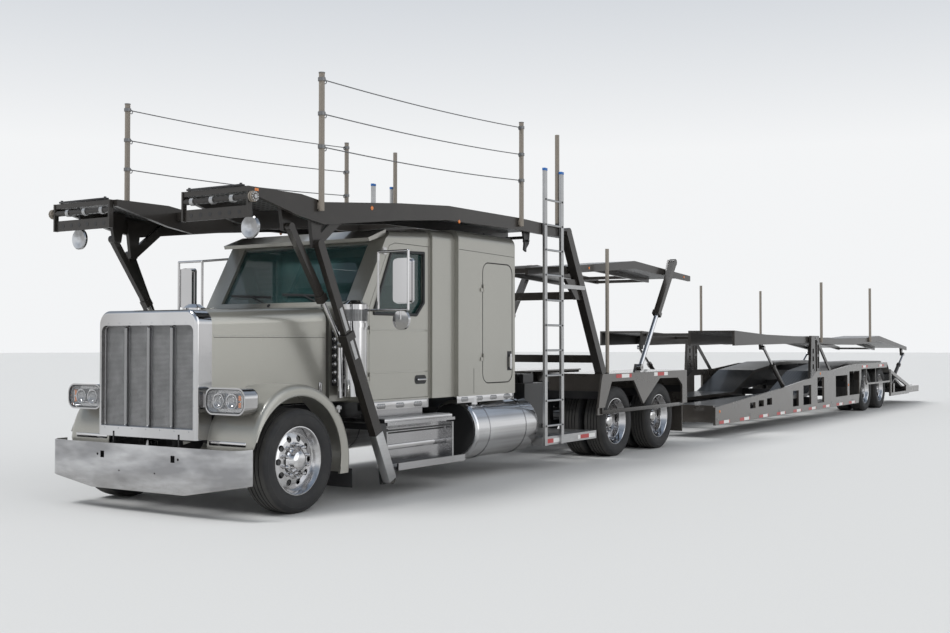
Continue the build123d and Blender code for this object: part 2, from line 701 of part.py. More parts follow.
def fender_face(inset, foot_front, front_foot, rear_foot):
    """The fender's side outline drawn in by a wall: two arcs that meet at its crest, and its feet."""
    front, rear = FENDER_FRONT_CURVE - inset, FENDER_REAR_CURVE - inset
    front_z, rear_z = FENDER_CREST - FENDER_FRONT_CURVE, FENDER_CREST - FENDER_REAR_CURVE
    rise = degrees(asin((front_foot - front_z) / front))
    fall = degrees(asin((rear_foot - rear_z) / rear))
    bow = CenterArc((at(STEER_AXLE), front_z), front, 90, 90 - rise)
    tail = CenterArc((at(STEER_AXLE), rear_z), rear, fall, 90 - fall)
    low = Polyline(bow @ 1, (at(foot_front), rear_foot), tail @ 0)
    return make_face(bow + tail + low)


LAMP_X = (CROWN_X + 35, 1150)
LAMP_Z = (892, 1128)
LAMP_FRONT = 165
LAMP_DEPTH = 190
LAMP_CORNER = 90
LAMP_RIM = 16
LAMP_RECESS = 56
LAMP_ROUNDS = (820, 980)
LAMP_TUBE = (68, 58)  # radius and bore
LAMP_MARKER = (1065, 1105)


def lamp_form(grow, front, depth):
    """The headlamp's rounded outline grown by a gap, from a station rearwards."""
    x0, x1 = LAMP_X
    z0, z1 = LAMP_Z
    plane = Plane(origin=(0, at(front), 0), x_dir=(1, 0, 0), z_dir=(0, -1, 0))
    face = RectangleRounded(x1 - x0 + 2 * grow, z1 - z0 + 2 * grow, LAMP_CORNER + grow)
    return extrude(plane * (Pos((x0 + x1) / 2, (z0 + z1) / 2) * face), -depth)


def lamp_pod(grow=0):
    """The left headlamp's closed housing, rounded off behind."""
    body = lamp_form(grow, LAMP_FRONT - grow, LAMP_DEPTH + 2 * grow)
    rear = at(LAMP_FRONT + LAMP_DEPTH + grow)
    return fillet(body.edges().filter_by(lambda e: abs(e.center().Y - rear) < 1), LAMP_CORNER / 2)


def headlamps():
    """Both headlamp housings, each with two round lamps and a marker lamp in a shallow recess."""
    pod = lamp_pod() - lamp_form(-LAMP_RIM, LAMP_FRONT - 1, LAMP_RECESS + 1)
    floor = LAMP_FRONT + LAMP_RECESS
    middle = (LAMP_Z[0] + LAMP_Z[1]) / 2
    radius, bore = LAMP_TUBE
    for x in LAMP_ROUNDS:
        pod += rod(point(x, floor - 40, middle), point(x, floor, middle), radius, bore)
    pod += block(LAMP_MARKER, (floor - 30, floor), (middle - 50, middle + 50))
    pod += block((CROWN_X, LAMP_X[0] + 30), (LAMP_FRONT + 25, CROWN_REAR), (middle - 60, middle + 60))
    return both(pod)


# Fittings on the tractor's sides

CLEANER = (1085, 1710)  # offset and station
CLEANER_RADIUS = 125
CLEANER_Z = (1000, 1880)


def air_cleaners():
    """Upright air cleaners beside the cowl, each with its intake pipe and two bands."""
    x, station = CLEANER
    y = at(station)
    low, high = CLEANER_Z
    body = Pos(x, y, (low + high) / 2) * Cylinder(CLEANER_RADIUS, high - low)
    body += Pos(x, y, high + 20) * Cone(CLEANER_RADIUS, 60, 40)
    for z in (low + 150, high - 200):
        body += Pos(x, y, z) * Cylinder(CLEANER_RADIUS + 8, 40)
    for z in (low + 200, high - 250):
        body += block((COWL_X, x), (station - 30, station + 30), (z, z + 50))
    body += rod(point(975, 1660, low + 60), point(975, 1660, high - 120), 36)
    body += block((960, x), (1650, 1670), (low + 80, low + 120))
    return both(body)


MIRROR_X = 1470
MIRROR_STATION = 1935
MIRROR_LOOP_X = (1200, 1560)
MIRROR_LOOP_Z = (1830, 2395)
MIRROR_FEET = ((2225, 2430), (1935, 1830))


def mirrors():
    """Door mirrors on tubular brackets from the cab's front pillars."""
    s, tube = MIRROR_STATION, 13
    (x0, x1), (z0, z1) = MIRROR_LOOP_X, MIRROR_LOOP_Z
    loop = [(x0, s, z1), (x1, s, z1), (x1, s, z0), (x0, s, z0)]
    body = Part()
    for a, b in zip(loop, loop[1:] + loop[:1]):
        body += rod(point(*a), point(*b), tube) + Pos(*point(*a)) * Sphere(tube)
    for (station, z), corner in zip(MIRROR_FEET, (loop[0], loop[3])):
        body += block((CAB_X, CAB_X + 12), (station - 25, station + 25), (z - 35, z + 35))
        body += rod(point(CAB_X + 11, station, z), point(*corner), tube)
    head = Plane(origin=point(MIRROR_X, s + 48, 2110), z_dir=(0, 1, 0), x_dir=(1, 0, 0))
    body += extrude(head * RectangleRounded(220, 440, 40), 26)
    body += extrude(head * RectangleRounded(200, 420, 36), -40)
    spot = point(MIRROR_X, s + 16, 1730)
    body += rod(point(MIRROR_X, s, z0), point(MIRROR_X, s, 1735), 9)
    body += Plane(origin=spot, z_dir=(0, 1, 0)) * Cylinder(95, 34)
    return both(body)


STEP_X = 1290
STEP_SPAN = (2150, 3330)


def cab_steps():
    """The two treads under each door, their riser panels and the box behind them."""
    s0, s1 = STEP_SPAN
    body = block((RAIL_X, 1180), (s0 - 90, s1 - 90), (RAIL_TOP - 170, 760))
    body += block((1000, STEP_X - 70), (s0 - 90, s1 - 90), (700, RAIL_TOP - 170))
    body += block((1020, 1045), (s0, s1), (290, 700))
    body += block((1020, STEP_X), (s0, s1), (262, 290))
    body += block((STEP_X - 22, STEP_X), (s0, s1), (290, 330))
    for s in (s0, s1 - 24):
        body += slab([(s, 290), (s, 672), (s + 24, 672), (s + 24, 290)], 1045, 1140)
    body += block((COWL_X, CAB_X), (1990, 2990), (838, CAB_BOTTOM - SEAT_GAP))
    body += block((COWL_X, 1000), (2050, 2950), (740, 838))
    return both(body)


TANK_X = 918
TANK_Z = 552
TANK_RADIUS = 330
TANK_SPAN = (3640, 4980)


def fuel_tanks():
    """A polished fuel tank on each side, with straps, a filler cap and its two brackets."""
    s0, s1 = TANK_SPAN
    body = rod(point(TANK_X, s0, TANK_Z), point(TANK_X, s1, TANK_Z), TANK_RADIUS)
    body = fillet(body.edges().filter_by(GeomType.CIRCLE), 45)
    for s in (s0 + 260, s1 - 300):
        body += rod(point(TANK_X, s, TANK_Z), point(TANK_X, s + 60, TANK_Z), TANK_RADIUS + 8)
        body += block((RAIL_X, TANK_X), (s, s + 60), (RAIL_BOTTOM + 40, RAIL_BOTTOM + 110))
    body += Pos(*point(TANK_X + 170, s0 + 150, TANK_Z + TANK_RADIUS - 20)) * Cylinder(50, 60)
    return both(body)


GEAR_SPAN = (TANK_SPAN[1] + 80, TANK_SPAN[1] + 580)


def service_gear():
    """Hydraulic tank, valve bank and batteries between the sleeper and the drive wheels."""
    s0, s1 = GEAR_SPAN
    body = block((RAIL_X, 1000), (s0, s1), (RAIL_BOTTOM - 140, RAIL_TOP + 120))
    body += block((-1000, -RAIL_X), (s0, s1), (RAIL_BOTTOM - 140, RAIL_TOP + 60))
    flange_x = RAIL_X - RAIL_WIDTH
    body += block((-flange_x, flange_x), (s0 - 160, s0 + 240), (RAIL_TOP - 40, RAIL_TOP + 420))
    for i in range(6):
        body += block((460 + 80 * i, 510 + 80 * i), (s0 + 120, s0 + 360), (RAIL_TOP + 120, RAIL_TOP + 230))
    return body


BOARD_X = (1130, 1275)
BOARD_Z = (290, 390)


def side_boards():
    """The low boards ahead of the drive wheels, on brackets from the frame."""
    body = block(BOARD_X, (TANK_SPAN[1] + 30, 6400), BOARD_Z)
    for s in (GEAR_SPAN[1] + 2, 6300):
        body += block((RAIL_X, RAIL_X + 60), (s, s + 60), (BOARD_Z[0], RAIL_TOP - 100))
        body += block((RAIL_X + 60, BOARD_X[0]), (s, s + 60), BOARD_Z)
    return both(body)


LADDER_X = (1275, 1305)
LADDER_RAILS = (TANK_SPAN[1] + 70, TANK_SPAN[1] + 475)
LADDER_Z = (BOARD_Z[1], 3590)
RUNG_PITCH = 300


def ladders():
    """A tall ladder on each side, standing on its board and held to the rear leg."""
    x0, x1 = LADDER_X
    body = Part()
    for s in LADDER_RAILS:
        body += block((x0, x1), (s - 32, s + 32), (LADDER_Z[0] - 100, LADDER_Z[1]))
    rung_x = (x0 + x1) / 2
    rungs = int((LADDER_Z[1] - LADDER_Z[0]) / RUNG_PITCH)
    for i in range(rungs):
        z = LADDER_Z[0] + 130 + i * RUNG_PITCH
        body += rod(point(rung_x, LADDER_RAILS[0], z), point(rung_x, LADDER_RAILS[1], z), 13)
    leg = rear_leg_station(LADDER_TIE)
    body += block((x0, x0 + 10), (LADDER_RAILS[1], leg + 30), (LADDER_TIE - 25, LADDER_TIE + 25))
    return both(body)


LADDER_TIE = 2200
REAR_LEG = ((HEAD_HINGE[0], HEAD_HINGE[1]), (6640, 1105))
REAR_LEG_X = (1170, 1275)
MID_POST_TOP = 2740


def rear_leg_station(height):
    """The rear leg's middle station at a height."""
    (s0, z0), (s1, z1) = REAR_LEG
    return s0 + (z0 - height) / (z0 - z1) * (s1 - s0)


def rear_legs():
    """The slanted legs behind the sleeper, tied across, with the pins of both tractor decks."""
    x0, x1 = REAR_LEG_X
    middle = (x0 + x1) / 2
    top, foot = REAR_LEG
    leg = bar(point(middle, *top), point(middle, *foot), x1 - x0, 118)
    leg -= block((x0 - 1, x1 + 1), (0, LENGTH), (0, foot[1]))
    leg += block((x0, x1 - 20), (foot[0] - 80, foot[0] + 130), (foot[1], foot[1] + 14))
    leg += rod(point(x1 - 13, foot[0] + 105, foot[1]), point(x1 - 13, foot[0] + 105, MID_POST_TOP), 24)
    leg += cross_rod(top, x0, x1, 62)
    leg += cross_rod(top, x0 - 60, x0, PIN_RADIUS)
    leg += cross_rod(MID_HINGE, x0 - 60, x0, PIN_RADIUS)
    leg += slab([(5640, 2300), (rear_leg_station(2300) - 20, 2300), (rear_leg_station(2050) - 20, 2050),
                 (5920, 2050)], x0 + 30, x1 - 30)
    legs = both(leg)
    for z in (1300, 2110):
        s = rear_leg_station(z)
        legs += block((-x0, x0), (s - 40, s + 40), (z - 50, z + 50))
    return legs


# Sides of the drive wheels

FENDER_SIDE = 1290
FENDER_TOP = 1105
DRIVE_PLATE = [
    (6560, FENDER_TOP), (9320, FENDER_TOP), (9320, 620), (9150, 620), (9150, 890), (8990, 1000), (8350, 1007),
    (7800, 670), (7490, 1000), (6820, 1000), (6620, 670), (6440, 670), (6520, 1000),
]


def drive_fenders():
    """The box fenders over the drive wheels: side plates with wheel cut-outs, and a flat top."""
    plate = slab(DRIVE_PLATE, FENDER_SIDE - 30, FENDER_SIDE)
    top = block((RAIL_X + 60, FENDER_SIDE - 30), (6560, 9320), (FENDER_TOP - 22, FENDER_TOP))
    ends = block((RAIL_X + 60, FENDER_SIDE - 30), (6560, 6582), (RAIL_TOP - 20, FENDER_TOP - 22))
    middle = (DRIVE_AXLES[0] + DRIVE_AXLES[1]) / 2
    web_z = (RAIL_TOP - 20, FENDER_TOP - 22)
    ends += block((RAIL_X + 60, FENDER_SIDE - 30), (middle - 12, middle + 12), web_z)
    ends += block((RAIL_X + 60, FENDER_SIDE - 30), (9240, 9262), (RAIL_TOP - 20, FENDER_TOP - 22))
    return both(plate + top + ends)


GUARD_Z = 600


def side_guards():
    """Guard bars beside the drive wheels, with the mud flaps behind them."""
    bar_x = FENDER_SIDE - 52
    body = block((bar_x, bar_x + 22), (6470, 6620), (GUARD_Z - 25, GUARD_Z + 110))
    body += block((620, 1250), (9220, 9232), (200, RAIL_TOP - 120))
    return both(body)


# Coupling behind the drive wheels

STINGER_X = 420
STINGER_Z = (300, 420)
COUPLING_PIN = 45


def stinger():
    """The low drawframe behind the drive wheels, with the trailer's pivot pin on its tail."""
    s, pin_z = TRAILER_PIVOT
    low, high = STINGER_Z
    half = slab([(8900, RAIL_BOTTOM), (RAIL_REAR, RAIL_BOTTOM), (9560, high), (s, high), (s, low),
                 (9250, low)], STINGER_X - 80, STINGER_X)
    body = both(half)
    body += block((-1180, 1180), (9240, 9330), (low - 50, low + 60))
    body += block((-STINGER_X + 80, STINGER_X - 80), (9420, 9500), (low, high))
    body += block((-STINGER_X, STINGER_X), (9760, s), (low, high))
    body += Pos(0, at(s), (low + high) / 2) * Cylinder(260, high - low)
    body += Pos(0, at(s), high + 60) * Cylinder(COUPLING_PIN, 120)
    return body


# Struts: each a barrel hinged at its foot and a rod whose eye meets a deck's pin

# A hanging strut has its barrel at the deck. A depth makes a length square, and 0 leaves it round.
Strut = namedtuple("Strut", "foot head x radius depth barrel rod_radius rod_depth overlap hanging")
STRUTS = {
    "front_leg": Strut((2040, 190), (987, 2400), 1260, 40, 55, 1560, 30, 45, 760, False),
    "lift": Strut((1420, 1500), (700, 2540), 1165, 30, 32, 790, 20, 0, 700, True),
    "mid": Strut((7830, 1170), (8980, 2690), 1222, 42, 42, 990, 32, 0, 240, True),
    "trailer_front": Strut((14150, 600), (12960, 1420), 1195, 40, 0, 900, 24, 0, 430, False),
    "trailer_rear": Strut((21800, 480), (23150, 1220), 1195, 42, 0, 1030, 26, 0, 790, False),
}
STRUT_PIN = 20
COLLAR = (10, 70)  # its rim over the barrel and its length
PIN_SIDE_GAP = 3  # between a strut's eye and the lug that carries its pin


def strut_length(x, a, b, half_width, half_depth):
    """A straight length of a strut between two (station, height) ends."""
    if half_depth:
        return bar(point(x, *a), point(x, *b), 2 * half_width, 2 * half_depth)
    return rod(point(x, *a), point(x, *b), half_width)


def strut(name):
    """The left barrel and rod of a strut, from the table's row."""
    row = STRUTS[name]
    near, far = (row.head, row.foot) if row.hanging else (row.foot, row.head)
    rim, run = COLLAR
    mouth = step(near, far, row.barrel)
    tube = strut_length(row.x, near, mouth, row.radius, row.depth)
    tube += strut_length(row.x, step(near, far, row.barrel - run), mouth, row.radius + rim,
                         row.depth + rim if row.depth else 0)
    bore_depth = row.rod_depth + RUN_CLEARANCE if row.rod_depth else 0
    tube -= strut_length(row.x, step(near, far, 60), step(near, far, row.barrel + 1),
                         row.rod_radius + RUN_CLEARANCE, bore_depth)
    tube += cross_rod(near, row.x - row.radius, row.x + row.radius, row.radius + 8)
    start = step(near, far, row.barrel - row.overlap)
    shaft = strut_length(row.x, start, far, row.rod_radius, row.rod_depth)
    shaft += cross_rod(far, row.x - row.rod_radius, row.x + row.rod_radius, row.rod_radius + 14)
    hole = cross_rod(row.foot, row.x - row.radius - 1, row.x + row.radius + 1, STRUT_PIN + RUN_CLEARANCE)
    if row.hanging:
        return tube, shaft - hole
    return tube - hole, shaft


def foot_half(name):
    """Half the width of a strut's eye at its foot."""
    row = STRUTS[name]
    return row.rod_radius if row.hanging else row.radius


def head_half(name):
    """Half the width of a strut's eye at its deck."""
    row = STRUTS[name]
    return row.radius if row.hanging else row.rod_radius


def foot_pin(name, reach):
    """A strut's pin at its foot, reaching inwards past its eye to its carrier."""
    row = STRUTS[name]
    half = foot_half(name)
    return cross_rod(row.foot, row.x - half - reach, row.x + half, STRUT_PIN)


def head_boss(name, reach):
    """The boss on a deck's lug that a strut's solid eye lies against."""
    row = STRUTS[name]
    face = row.x - head_half(name)
    return cross_rod(row.head, face - reach, face - SEAT_GAP, STRUT_PIN)


def lift_pin():
    """The pin on the front leg's barrel that the lift cylinder's foot turns on."""
    row = STRUTS["lift"]
    return cross_rod(row.foot, row.x - row.rod_radius, STRUTS["front_leg"].x - 35, STRUT_PIN)


# Head deck, over the cab

HEAD_TOP = [(120, 2830), (740, 2830), (1060, 2790), (2200, 2892), (3050, 2949), (4500, 2950), (4930, 2938),
            (5560, 2930)]
HEAD_DEPTH = [60, 200, 205, 170, 150, 140, 135, 130]
HEAD_BEAM = 45
CROSS_STATIONS = (880, 1650, 2750, 3700, 4600, 5350)


def run_outline(top, depth):
    """A beam's side outline from its top line and its depth at each point of it."""
    under = [(s, z - d) for (s, z), d in zip(top, depth)]
    return top + under[::-1]


def skin_outline(top, thickness):
    """A deck skin's side outline under its top line."""
    return run_outline(top, [thickness] * len(top))


def runway(top, depth, inner, outer, beam, skin):
    """A runway of one side: an edge beam each side and a skin between them."""
    body = slab(run_outline(top, depth), outer - beam, outer)
    body += slab(run_outline(top, depth), inner, inner + beam)
    return body + slab(skin_outline(top, skin), inner + beam, outer - beam)


def height_on(top, station):
    """The height of a top line at a station."""
    for (s0, z0), (s1, z1) in zip(top, top[1:]):
        if s0 <= station <= s1:
            return z0 + (z1 - z0) * (station - s0) / (s1 - s0)
    return top[-1][1]


def head_deck():
    """The deck over the cab: two runways, cross tubes, strut lugs and its hinge lugs."""
    side = runway(HEAD_TOP, HEAD_DEPTH, RUNWAY_INNER, HEAD_X, HEAD_BEAM, HEAD_DECK_SKIN)
    for name in ("front_leg", "lift"):
        side += deck_lug(name, HEAD_TOP, HEAD_X - HEAD_BEAM)
    side += leg_brace()
    s, z = HEAD_HINGE
    x = REAR_LEG_X[0]
    lug = slab([(5400, 2930), (s + 60, 2930), (s + 60, z - 60), (5400, 2810)], x - 50, x - 5)
    side += lug - cross_rod(HEAD_HINGE, x - 70, x, PIN_RADIUS + RUN_CLEARANCE)
    deck = both(side)
    for station in CROSS_STATIONS:
        top = height_on(HEAD_TOP, station) - 40
        deck += block((-RUNWAY_INNER, RUNWAY_INNER), (station - 45, station + 45), (top - 75, top))
    return deck


def leg_brace():
    """The slanted brace from the front leg's pin back up to the deck."""
    row = STRUTS["front_leg"]
    s, z = row.head
    face = row.x - head_half("front_leg") - PIN_SIDE_GAP
    return slab([(s - 25, z + 45), (s + 25, z - 35), (1490, 2740), (1360, 2740)], face - 40, face)


def deck_lug(name, top, beam_x):
    """A lug under a deck's outer beam, with the boss that a strut's eye lies against."""
    s, z = STRUTS[name].head
    beam = height_on(top, s) - 60
    inner = STRUTS[name].x - head_half(name) - PIN_SIDE_GAP - 40
    lug = slab([(s - 90, beam), (s + 90, beam), (s + 40, z - 35), (s - 40, z - 35)], inner, inner + 40)
    if inner + 40 < beam_x:
        lug += block((inner, beam_x), (s - 90, s + 90), (beam - 5, beam + 25))
    return lug + head_boss(name, 20)


POST_RADIUS = 27
CABLE_POSTS = (980, 4500)
PLAIN_POST = (1235, 5450, 4050)  # offset, station and top


def post(x, station, deck, top):
    """A post on a deck's outer beam, with the clip that holds it there."""
    body = rod(point(x, station, deck - 100), point(x, station, top), POST_RADIUS)
    return body + block((x - POST_RADIUS - 1, x), (station - POST_RADIUS, station + POST_RADIUS),
                        (deck - 85, deck - 25))


def head_posts():
    """The posts that carry the cables, a plain post behind them and the front tie-down units."""
    x = HEAD_X + POST_RADIUS
    side = Part()
    for s, top in ((CABLE_POSTS[0], 3950), (CABLE_POSTS[1], 4050)):
        side += post(x, s, height_on(HEAD_TOP, s), top)
    x, s, top = PLAIN_POST
    side += rod(point(x, s, height_on(HEAD_TOP, s) - 20), point(x, s, top), POST_RADIUS)
    side += tie_unit(470, 1265)
    return both(side)


def tie_unit(x0, x1):
    """A ratchet tie-down shaft across a runway's front end, between its plates."""
    body = block((x0, x1), (80, 125), (2785, 2830))
    body += rod(point(x0, 100, 2740), point(x1 + 40, 100, 2740), 26)
    for x in (x0, x1 - 20):
        body += block((x, x + 20), (72, 118), (2570, 2830))
    for i in range(2):
        body += Pos(x1 + 20 + 22 * i, at(100), 2740) * (Rot(0, 90, 0) * Cylinder(46, 12))
    return body + block((x0 + 20, x1 - 20), (92, 104), (2570, 2670))


# Mid deck, over the drive wheels

MID_TOP = [(6060, 2490), (7830, 2650), (9800, 2530)]
MID_DEPTH = [95, 110, 80]


def mid_deck():
    """The deck over the drive wheels: two runways, cross tubes, strut lugs and hinge lugs."""
    side = runway(MID_TOP, MID_DEPTH, RUNWAY_INNER, MID_X, 40, HEAD_DECK_SKIN)
    s, z = MID_HINGE
    x = REAR_LEG_X[0]
    lug = slab([(s - 50, z + 45), (6060, 2490), (6300, 2500), (6300, 2420), (s - 50, z - 50)], x - 60, x - 21)
    lug -= cross_rod(MID_HINGE, x - 90, x, PIN_RADIUS + RUN_CLEARANCE)
    side += lug
    s, z = STRUTS["mid"].head
    face = STRUTS["mid"].x - head_half("mid") - PIN_SIDE_GAP
    deck_z = height_on(MID_TOP, s)
    arm = slab([(s - 150, deck_z - 60), (s + 150, deck_z - 60), (s + 45, z + 40), (s - 45, z + 40)],
               MID_X, face)
    side += arm + head_boss("mid", 10)
    deck = both(side)
    for station in (6250, 7200, 8200, 9200, 9720):
        top = height_on(MID_TOP, station) - 35
        deck += block((-RUNWAY_INNER, RUNWAY_INNER), (station - 40, station + 40), (top - 45, top))
    return deck


def leg_feet():
    """The pins and lugs on the tractor's frame at the feet of the front legs."""
    side = Part()
    foot = STRUTS["front_leg"].foot
    inner = STRUTS["front_leg"].x - STRUTS["front_leg"].radius - 8
    side += foot_pin("front_leg", 30)
    side += slab([(foot[0] - 55, foot[1] - 55), (foot[0] + 55, foot[1] - 55), (foot[0] + 15, 640),
                  (foot[0] - 120, 640)], inner - 30, inner)
    side += block((RAIL_X, inner), (foot[0] - 120, foot[0] + 15), (RAIL_BOTTOM + 5, RAIL_BOTTOM + 65))
    side += slab([(foot[0] - 120, 640), (foot[0] + 15, 640), (foot[0] + 15, RAIL_BOTTOM + 65),
                  (foot[0] - 120, RAIL_BOTTOM + 65)], inner - 30, inner)
    return both(side)


def mid_strut_feet():
    """The lugs and pins on the drive fenders at the feet of the mid deck's struts."""
    s, z = STRUTS["mid"].foot
    face = STRUTS["mid"].x - foot_half("mid") - PIN_SIDE_GAP
    side = foot_pin("mid", 40)
    side += slab([(s - 90, FENDER_TOP), (s + 90, FENDER_TOP), (s + 45, z + 45), (s - 45, z + 45)],
                 face - 30, face)
    return both(side)


# Trailer

TAIL_END = LENGTH
TAIL_BOX = TAIL_END - 1050
TAIL_FRONT = TRAILER_AXLES[1] + 680
FLOOR_TOP = [(10500, 480), (15600, 520), (16800, 930), (18500, 1080), (21200, 1080), (TAIL_BOX, 430)]
FLOOR_INNER = 350
FLOOR_X = 1135
FLOOR_SKIN = 60
CHASSIS_X = (480, 560)
CHASSIS_DEPTH = [210, 250, 320, 330, 330, 120]
SIDE_INNER = 1255
SIDE_TOP = [(10440, 490), (13500, 680), (15400, 830), (15700, 950), (16800, 950), (18300, 1050),
            (18640, 1050)]
SIDE_BOTTOM = 210
# Each opening through the side plates: front and rear station, bottom and top height.
SIDE_OPENINGS = (
    (12000, 12260, 400, 500),
    (12420, 12680, 410, 520),
    (12840, 13100, 420, 540),
    (14260, 14600, 330, 620),
    (14880, 15360, 330, 700),
    (15760, 16200, 330, 830),
    (17000, 17850, 400, 830),
    (18000, 18780, 400, 900),
)
SIDE_REAR = [(18640, 1016), (18900, 1016), (18900, 700), (18700, SIDE_BOTTOM), (10440, SIDE_BOTTOM)]


def side_plate():
    """The left side plate before its openings are cut."""
    return slab(SIDE_TOP + SIDE_REAR, SIDE_INNER, SIDE)


def trailer_sides():
    """The trailer's tall side plates with their openings, joined by the front beam and tongue."""
    plate = side_plate()
    for s0, s1, z0, z1 in SIDE_OPENINGS:
        plate -= block((SIDE_INNER - 1, SIDE + 1), (s0, s1), (z0, z1))
    body = both(plate)
    body += block((-SIDE_INNER, SIDE_INNER), (10440, 10498), (250, 520))
    s, z = TRAILER_PIVOT
    low = STINGER_Z[1] + 0.5
    tongue = block((-230, 230), (s, 10440), (low, 520))
    tongue += Pos(0, at(s), (low + 520) / 2) * Cylinder(230, 520 - low)
    tongue -= Pos(0, at(s), 500) * Cylinder(COUPLING_PIN + RUN_CLEARANCE, 400)
    return body + tongue


def trailer_chassis():
    """Two inner beams that rise over the wheels, with cross members out to the sides."""
    top = [(s, z - FLOOR_SKIN) for s, z in FLOOR_TOP]
    beams = both(slab(run_outline(top, CHASSIS_DEPTH), *CHASSIS_X))
    for s in (11200, 12400, 13600, 14700, 15500):
        z = height_on(top, s - 35)
        beams += block((-SIDE_INNER, SIDE_INNER), (s - 35, s + 35), (SIDE_BOTTOM + 20, z))
    for s, z in ((16500, 500), (17900, 640)):
        beams += block((-SIDE_INNER, SIDE_INNER), (s - 35, s + 35), (z - 60, z + 60))
    beams += block((-FLOOR_X, FLOOR_X), (18560, 18630), (900, 1020))
    beams += block((-FLOOR_X, FLOOR_X), (20140, 20210), (940, 1020))
    beams += block((-SIDE_INNER, SIDE_INNER), (TAIL_FRONT, TAIL_FRONT + 70), (760, 860))
    beams += block((-SIDE_INNER, SIDE_INNER), (TAIL_BOX - 120, TAIL_BOX - 50), (265, 365))
    return beams


def trailer_floor():
    """The lower load floor: two bright runways that climb over the wheels and fall to the tail."""
    skin = slab(skin_outline(FLOOR_TOP, FLOOR_SKIN), FLOOR_INNER, FLOOR_X)
    return both(skin)


def trailer_axles():
    """Both trailer axles: tubes, spindles, trailing arms and air springs under the chassis."""
    body = Part()
    for station in TRAILER_AXLES:
        tube = cross_rod((station, TYRE_RADIUS), 0, DUAL_INNER_X - 110, 66)
        tube += cross_rod((station, TYRE_RADIUS), DUAL_INNER_X - 120, DUAL_SPINDLE_END, SPINDLE_RADIUS)
        middle = sum(CHASSIS_X) / 2
        bar_z = (TYRE_RADIUS - 40, TYRE_RADIUS + 40)
        tube += block((middle - 45, middle + 45), (station - 480, station + 240), bar_z)
        tube += rod(point(middle, station + 180, TYRE_RADIUS + 30), point(middle, station + 180, 690), 50)
        tube += block((middle - 38, middle + 38), (station - 480, station - 400), (TYRE_RADIUS - 40, 690))
        body += both(tube)
    return body


def trailer_fenders():
    """The flat-topped fenders over the trailer's wheels, with sloped ends and a guard bar."""
    shape = [(18450, 880), (18650, 1050), (21150, 1050), (21420, 830), (21420, 800), (21140, 1018), (18660, 1018),
             (18450, 850)]
    body = slab(shape, FLOOR_X, SIDE)
    body += slab([(18902, 1018), (21140, 1018), (21140, 930), (18902, 930)], SIDE - 12, SIDE)
    body += block((FLOOR_X, SIDE), (18902, 18930), (700, 1018))
    body += block((SIDE - 25, SIDE), (19370, 21420), (580, 620))
    for s in (19370, 20160, 21395):
        body += block((SIDE - 25, SIDE - 12), (s, s + 25), (600, 1000 if s < 21300 else 810))
    return both(body - side_plate())


def inward_pin(name):
    """The pin at a trailer strut's foot, from the side plate inwards through its eye."""
    row = STRUTS[name]
    return cross_rod(row.foot, row.x - row.radius, SIDE_INNER, STRUT_PIN)


def trailer_tail():
    """The tail's side frames, end boxes and rear beam with its lamp bar."""
    rail = slab([(TAIL_FRONT, 880), (TAIL_BOX, 470), (TAIL_BOX, 250), (TAIL_FRONT, 250)], SIDE_INNER, SIDE)
    rail -= slab([(TAIL_FRONT + 80, 780), (TAIL_BOX - 300, 460), (TAIL_BOX - 300, 325), (TAIL_FRONT + 80, 325)],
                 SIDE_INNER - 1, SIDE + 1)
    rail += block((SIDE - 200, SIDE), (TAIL_BOX, TAIL_END), (270, 420))
    rail += block((FLOOR_INNER, FLOOR_X), (TAIL_BOX, TAIL_END), (395, 430))
    body = both(rail)
    s, z = STRUTS["trailer_rear"].foot
    body += both(inward_pin("trailer_rear") + block((SIDE_INNER, SIDE), (s - 60, s + 60), (320, z + 60)))
    body += block((-SIDE + 200, SIDE - 200), (TAIL_BOX, TAIL_BOX + 80), (270, 380))
    body += block((-SIDE + 200, SIDE - 200), (TAIL_END - 60, TAIL_END), (290, 395))
    return body


COLUMN_X = (1245, SIDE)


def trailer_uprights():
    """The uprights between the trailer decks: columns, braces, and the decks' hinge pins."""
    x0, x1 = COLUMN_X
    foot = [(s, height_on(SIDE_TOP, s)) for s in (15320, 15400, 15660)]
    body = slab(foot + [(15620, 1640), (15400, 1640)], x0, x1)
    for z in (1000, 1150, 1300):
        body -= block((x0 - 1, x1 + 1), (15460, 15540), (z, z + 90))
    body += slab([(15740, 951), (15900, 951), (15900, 1640), (15740, 1640)], x0, x1)
    body -= block((x0 - 1, x1 + 1), (15775, 15865), (1010, 1230))
    body -= block((x0 - 1, x1 + 1), (15775, 15865), (1280, 1470))
    body += slab([(15900, 1540), (15900, 1450), (16600, 951), (16720, 951)], x0 + 10, x1 - 10)
    body += block((x0, x1), (15600, 15760), (1560, 1640))
    for hinge in (FRONT_HINGE, REAR_HINGE):
        body += cross_rod(hinge, x0 - 80, x0 + 5, PIN_RADIUS)
    return both(body)


FRONT_TOP = [(11450, 1710), (13000, 1650), (15330, 1620)]
FRONT_DEPTH = [250, 170, 120]
REAR_TOP = [(15960, 1610), (17450, 1592), (19550, 1612), (20700, 1662), (23350, 1400)]
REAR_DEPTH = [110, 130, 130, 120, 85]
FRONT_CROSSES = (11600, 12900, 14100, 15200)
REAR_CROSSES = (16100, 17600, 19100, 20600, 22000, 23200)
DECK_BEAM = 40


